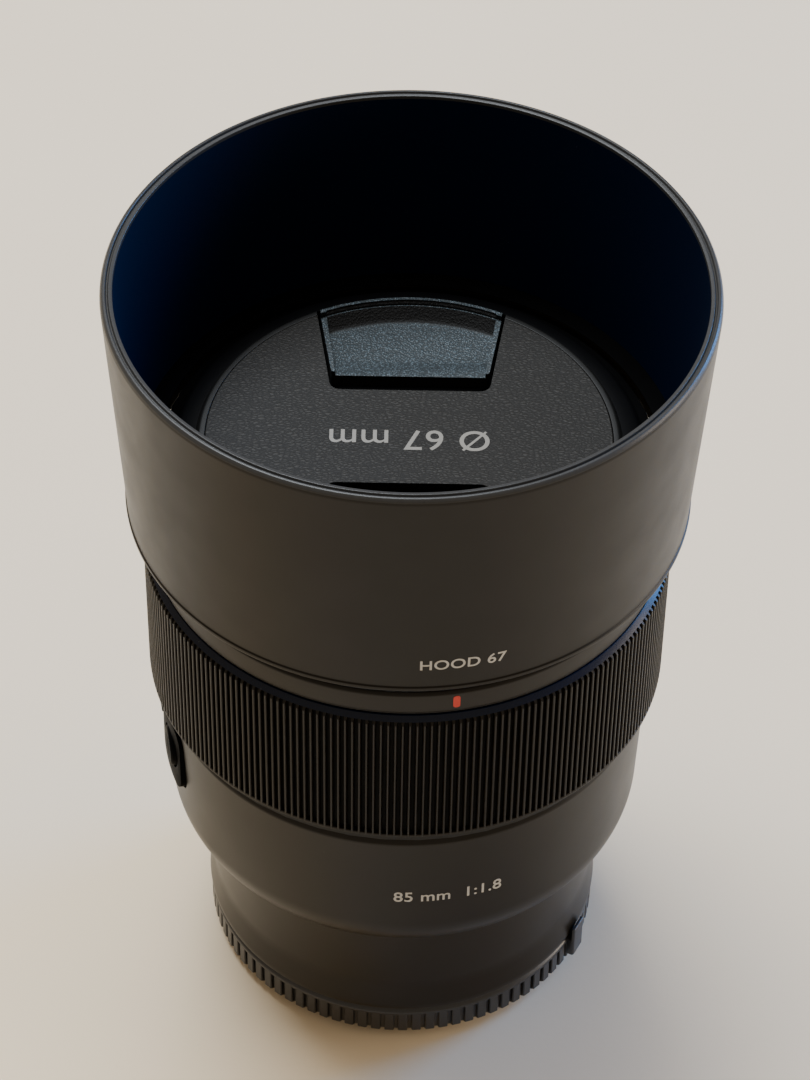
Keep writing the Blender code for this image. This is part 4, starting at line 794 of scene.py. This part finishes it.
def grip_outline(gap, inner_edge, outer_radius, corner=1.6):
    """The slanted outline of a finger recess on the +Y side, with round inner corners."""
    lean = 2.6 / 20.9
    half_in = 11.6 - gap + lean * (inner_edge - GRIP_INNER)
    side = math.degrees(math.asin((14.2 - gap) / outer_radius))
    outer = arc(outer_radius, 90 - side, 90 + side, 24)
    corners = [outer[-1], (-half_in, inner_edge, corner), (half_in, inner_edge, corner), outer[0]]
    return rounded(corners, 6)[:-1] + outer[:-1]


def front_cap():
    """The front cap: a grained face, a smooth border and a rim darkened with painted shade, open for the
    two latches.
    """
    lower, upper = -3.1, CAP_FACE
    shell = lathe("cap_shell", rounded([
        (0, upper), (29.35, upper, 0.1), (29.45, upper - 0.2), (29.45, upper - 1.6), (0, upper - 1.6)]))
    border = lathe("cap_border", rounded([
        (29.5, upper - 0.1, 0.08), (30.35, upper - 0.12, 0.25), (30.95, upper - 0.95, 0.3),
        (30.95, upper - 1.6), (29.4, upper - 1.6)]))
    rim = lathe("cap_rim", rounded([
        (30.9, upper - 1.15), (33.7, upper - 1.95, 0.5), (34.4, upper - 2.6, 0.4), (34.4, 0, 0.15),
        (32.7, 0), (32.7, lower, 0.2), (31.3, lower, 0.2), (31.3, upper - 1.7), (30.9, upper - 1.7)]))
    recesses, windows = [], []
    for turn in (Matrix.Identity(4), HALF_TURN):
        recess = prism("recess", grip_outline(0, GRIP_INNER, 30.75), 0.5, 8)
        recesses.append(("DIFFERENCE", placed(recess, turn)))
        window = prism("window", rectangle(-8.3, 29.5, 8.3, 36), -2.3, -0.15)
        windows.append(("DIFFERENCE", placed(window, turn)))
    border = placed(eased(carved(border, *recesses), 0.12, 2, 40), CAP_PLACE)
    border_smooth = moulded("cap_border_smooth", (0.0050, 0.0048, 0.0045), 0.45, 0.15, 0.004, 0.3)
    piece("cap_border", border, border_smooth, "front_cap", smooth=40)
    shell = placed(eased(carved(shell, *recesses), 0.2, 3, 40), CAP_PLACE)
    grained = leather_grain("cap_leather_grain")
    piece("cap_shell", shell, grained, "front_cap", ["front_cap"], 40, True)
    rim = placed(eased(carved(rim, *windows), 0.1, 2, 50), CAP_PLACE)
    # the rim's near-black is painted shade
    rim_painted_shade = moulded("cap_rim_painted_shade", (0.0010, 0.0010, 0.0013), 0.55, 0.2, 0.01, 0.08)
    piece("cap_rim", rim, rim_painted_shade, "front_cap")
    middle = CAP_PLACE @ moved(0, -0.6, upper + 0.01) @ HALF_TURN
    size = lettering("Ø 67 mm", 4.1, middle, bold=0.02)
    piece("cap_lettering", size, paint("cap_print", (0.24, 0.225, 0.20), 0.5), "front_cap")


def latches():
    """The two spring latches: each a scooped grip with a tip, and a tongue under the cap's face."""
    finish = speckled("latch_speckle_painted_light")
    bottom, top, floor, inner, outer, side_gap, wall = -2.0, 3.4, 0.5, 14.6, 30.3, 0.6, 0.55
    for name, turn, body in (("far", Matrix.Identity(4), "cap_latch_far"),
                             ("near", HALF_TURN, "cap_latch_near")):
        block = prism("latch", grip_outline(side_gap, inner, outer, 0.4), bottom, top)
        well = prism("well", grip_outline(side_gap + wall, inner - 2, outer + 2, 0.4), -3, 12)
        bowl = lathe("bowl", [
            (0, 9), (29.9, 9), (29.8, top - 0.3), (28.3, floor + 0.45), (27.9, floor + 0.1),
            (27.3, floor), (0, floor)], 192)
        slope = [(13.0, 1.7), (15.1, 1.7), (18.6, 0.72), (19.0, 0.62), (20.5, 0.52), (24, 0.45),
                 (40, 0.4), (40, 9), (13.0, 9)]
        bank = placed(prism("bank", slope, -20, 20), SIDEWAYS)
        brim = lathe("brim", [(0, 9), (29.7, 9), (29.6, 2.5), (0, 2.5)], 192)
        scoop = carved(bowl, ("INTERSECT", bank), ("INTERSECT", well), ("UNION", brim))
        tip = prism("tip", rectangle(-8, 26, 8, 31.98), bottom + 0.05, bottom + 1.5)
        latch = carved(block, ("DIFFERENCE", scoop), ("UNION", tip))
        tongue = prism("tongue", rectangle(-10.6, inner - 5.2, 10.6, inner + 1), bottom, bottom + 1.8)
        tongue = placed(eased(tongue, 0.14, 2, 40), CAP_PLACE @ turn)
        # the tongue is near-black as painted shade in the slot
        piece(f"latch_{name}_tongue", tongue, SHADE_BLACK, body)
        latch = placed(eased(latch, 0.14, 2, 40), CAP_PLACE @ turn)
        piece(f"latch_{name}", latch, finish, body, [f"cap_latch_{name}"], 32, True)


# ---------------------------------------------------------------- CAD nodes that are shown as they are

def inner_pieces():
    """Gives the pieces inside the lens their finishes."""
    dull = moulded("cell_dull_black", (0.007, 0.007, 0.007), 0.75, 0.3, 0.02)
    by_slot = {
        "mount_metal": turned_metal("mount_plated"),
        "screw_steel": turned_metal("screw_plated", roughness=0.3),
        "circuit_board": circuit("circuit_green"),
        "spring_steel": turned_metal("spring_wire", (0.6, 0.6, 0.6), 0.22),
        "inner_alloy": turned_metal("inner_anodised", (0.07, 0.07, 0.075), 0.42),
        "blade_black": turned_metal("blade_coated", (0.03, 0.03, 0.032), 0.5),
        "motor_steel": turned_metal("motor_can"),
        "rod_steel": turned_metal("rod_ground", (0.62, 0.62, 0.62), 0.16),
        "yoke_steel": turned_metal("yoke_nickel", (0.5, 0.49, 0.46), 0.34),
        "copper_wire": winding("copper_winding"),
        "optical_glass": coated_glass("coated_glass"),
    }
    for slot in ("bezel_black", "cap_back_black"):
        by_slot[slot] = PLASTIC_BLACK
    for slot in ("contact_plastic", "baffle_black", "encoder_black", "cell_black", "carriage_black",
                 "iris_black"):
        by_slot[slot] = dull
    for entry in frame["record"]["subparts"]:
        material = by_slot.get(entry["material_slot"])
        node = frame["nodes"][entry["node"]]
        if material and not node.hide_render:
            for place in node.material_slots:
                place.material = material


# ---------------------------------------------------------------- floor, light and camera

def pale_floor():
    """A pale, slightly uneven floor."""
    finish = Finish("floor_pale", (0.86, 0.70, 0.49), 0.5, specular_ior_level=0.35)
    soft = finish.noise(60.0, 3.0)
    finish.set("Base Color", finish.mixed(soft, (0.88, 0.72, 0.51), (0.84, 0.68, 0.47)))
    finish.bump(finish.noise(1.2, 3.0), 0.02)
    reach = 12000.0
    bm = bmesh.new()
    bm.faces.new([bm.verts.new((x * MM, y * MM, 0)) for x, y in rectangle(-reach, -reach, reach, reach)])
    mesh = bpy.data.meshes.new("floor")
    bm.to_mesh(mesh)
    bm.free()
    mesh.materials.append(finish.material)
    shown("floor", mesh)


def soft_lights():
    """Soft light from above, from the right and from a window, in a dim warm room."""
    aim = Vector((0, 0, 0.06))  # in metres, as the lights' places and sizes are
    for name, place, size, power, color in (
            ("overhead", (-0.15, 0.42, 1.25), (0.7, 0.7), 26.0, (0.88, 0.94, 1.0)),
            ("right", (1.3, -0.2, 0.28), (0.6, 0.5), 8.0, (1.0, 0.86, 0.70)),
            ("window", (1.2, 0.42, 0.5), (0.45, 0.95), 26.0, (0.12, 0.40, 1.0))):
        light = bpy.data.lights.new(name, "AREA")
        light.shape = "RECTANGLE"
        light.energy, light.size, light.size_y, light.color = power, *size, color
        lamp = shown(name, light)
        lamp.location = place
        lamp.rotation_mode = "QUATERNION"
        lamp.rotation_quaternion = (Vector(place) - aim).to_track_quat("Z", "Y")

    world = bpy.data.worlds.new("room")
    world.use_nodes = True
    back = world.node_tree.nodes["Background"]
    back.inputs["Color"].default_value = (0.95, 0.80, 0.62, 1.0)
    back.inputs["Strength"].default_value = 0.45
    bpy.context.scene.world = world


def camera():
    """The camera: 462 mm above the floor and 378 mm out from the axis, turned a little to its left."""
    around, away, above = math.radians(11.1), 378.2, 461.6
    yaw, pitch, roll = math.radians(-0.053), math.radians(45.193), math.radians(0.96)
    frame_height, focal_length = 36, 120.663
    turn = around + yaw
    ahead = Vector((math.sin(turn) * math.cos(pitch), math.cos(turn) * math.cos(pitch),
                    -math.sin(pitch)))
    right = Vector((math.cos(turn), -math.sin(turn), 0))
    up = right.cross(ahead)
    tilted_right = math.cos(roll) * right + math.sin(roll) * up
    tilted_up = math.cos(roll) * up - math.sin(roll) * right
    data = bpy.data.cameras.new("camera")
    data.sensor_fit, data.sensor_width, data.sensor_height = "VERTICAL", frame_height, frame_height
    data.lens = focal_length
    data.clip_start, data.clip_end = 0.01, 20
    seen = shown("camera", data)
    turned = Matrix((tilted_right, tilted_up, -ahead)).transposed().to_4x4()
    seen.matrix_world = moved(-math.sin(around) * away, -math.cos(around) * away, above) @ turned
    bpy.context.scene.camera = seen


hood()
focus_ring()
rear_cap()
tail()
main_barrel()
switches()
front_rings()
front_cap()
latches()
inner_pieces()
pale_floor()
soft_lights()
camera()
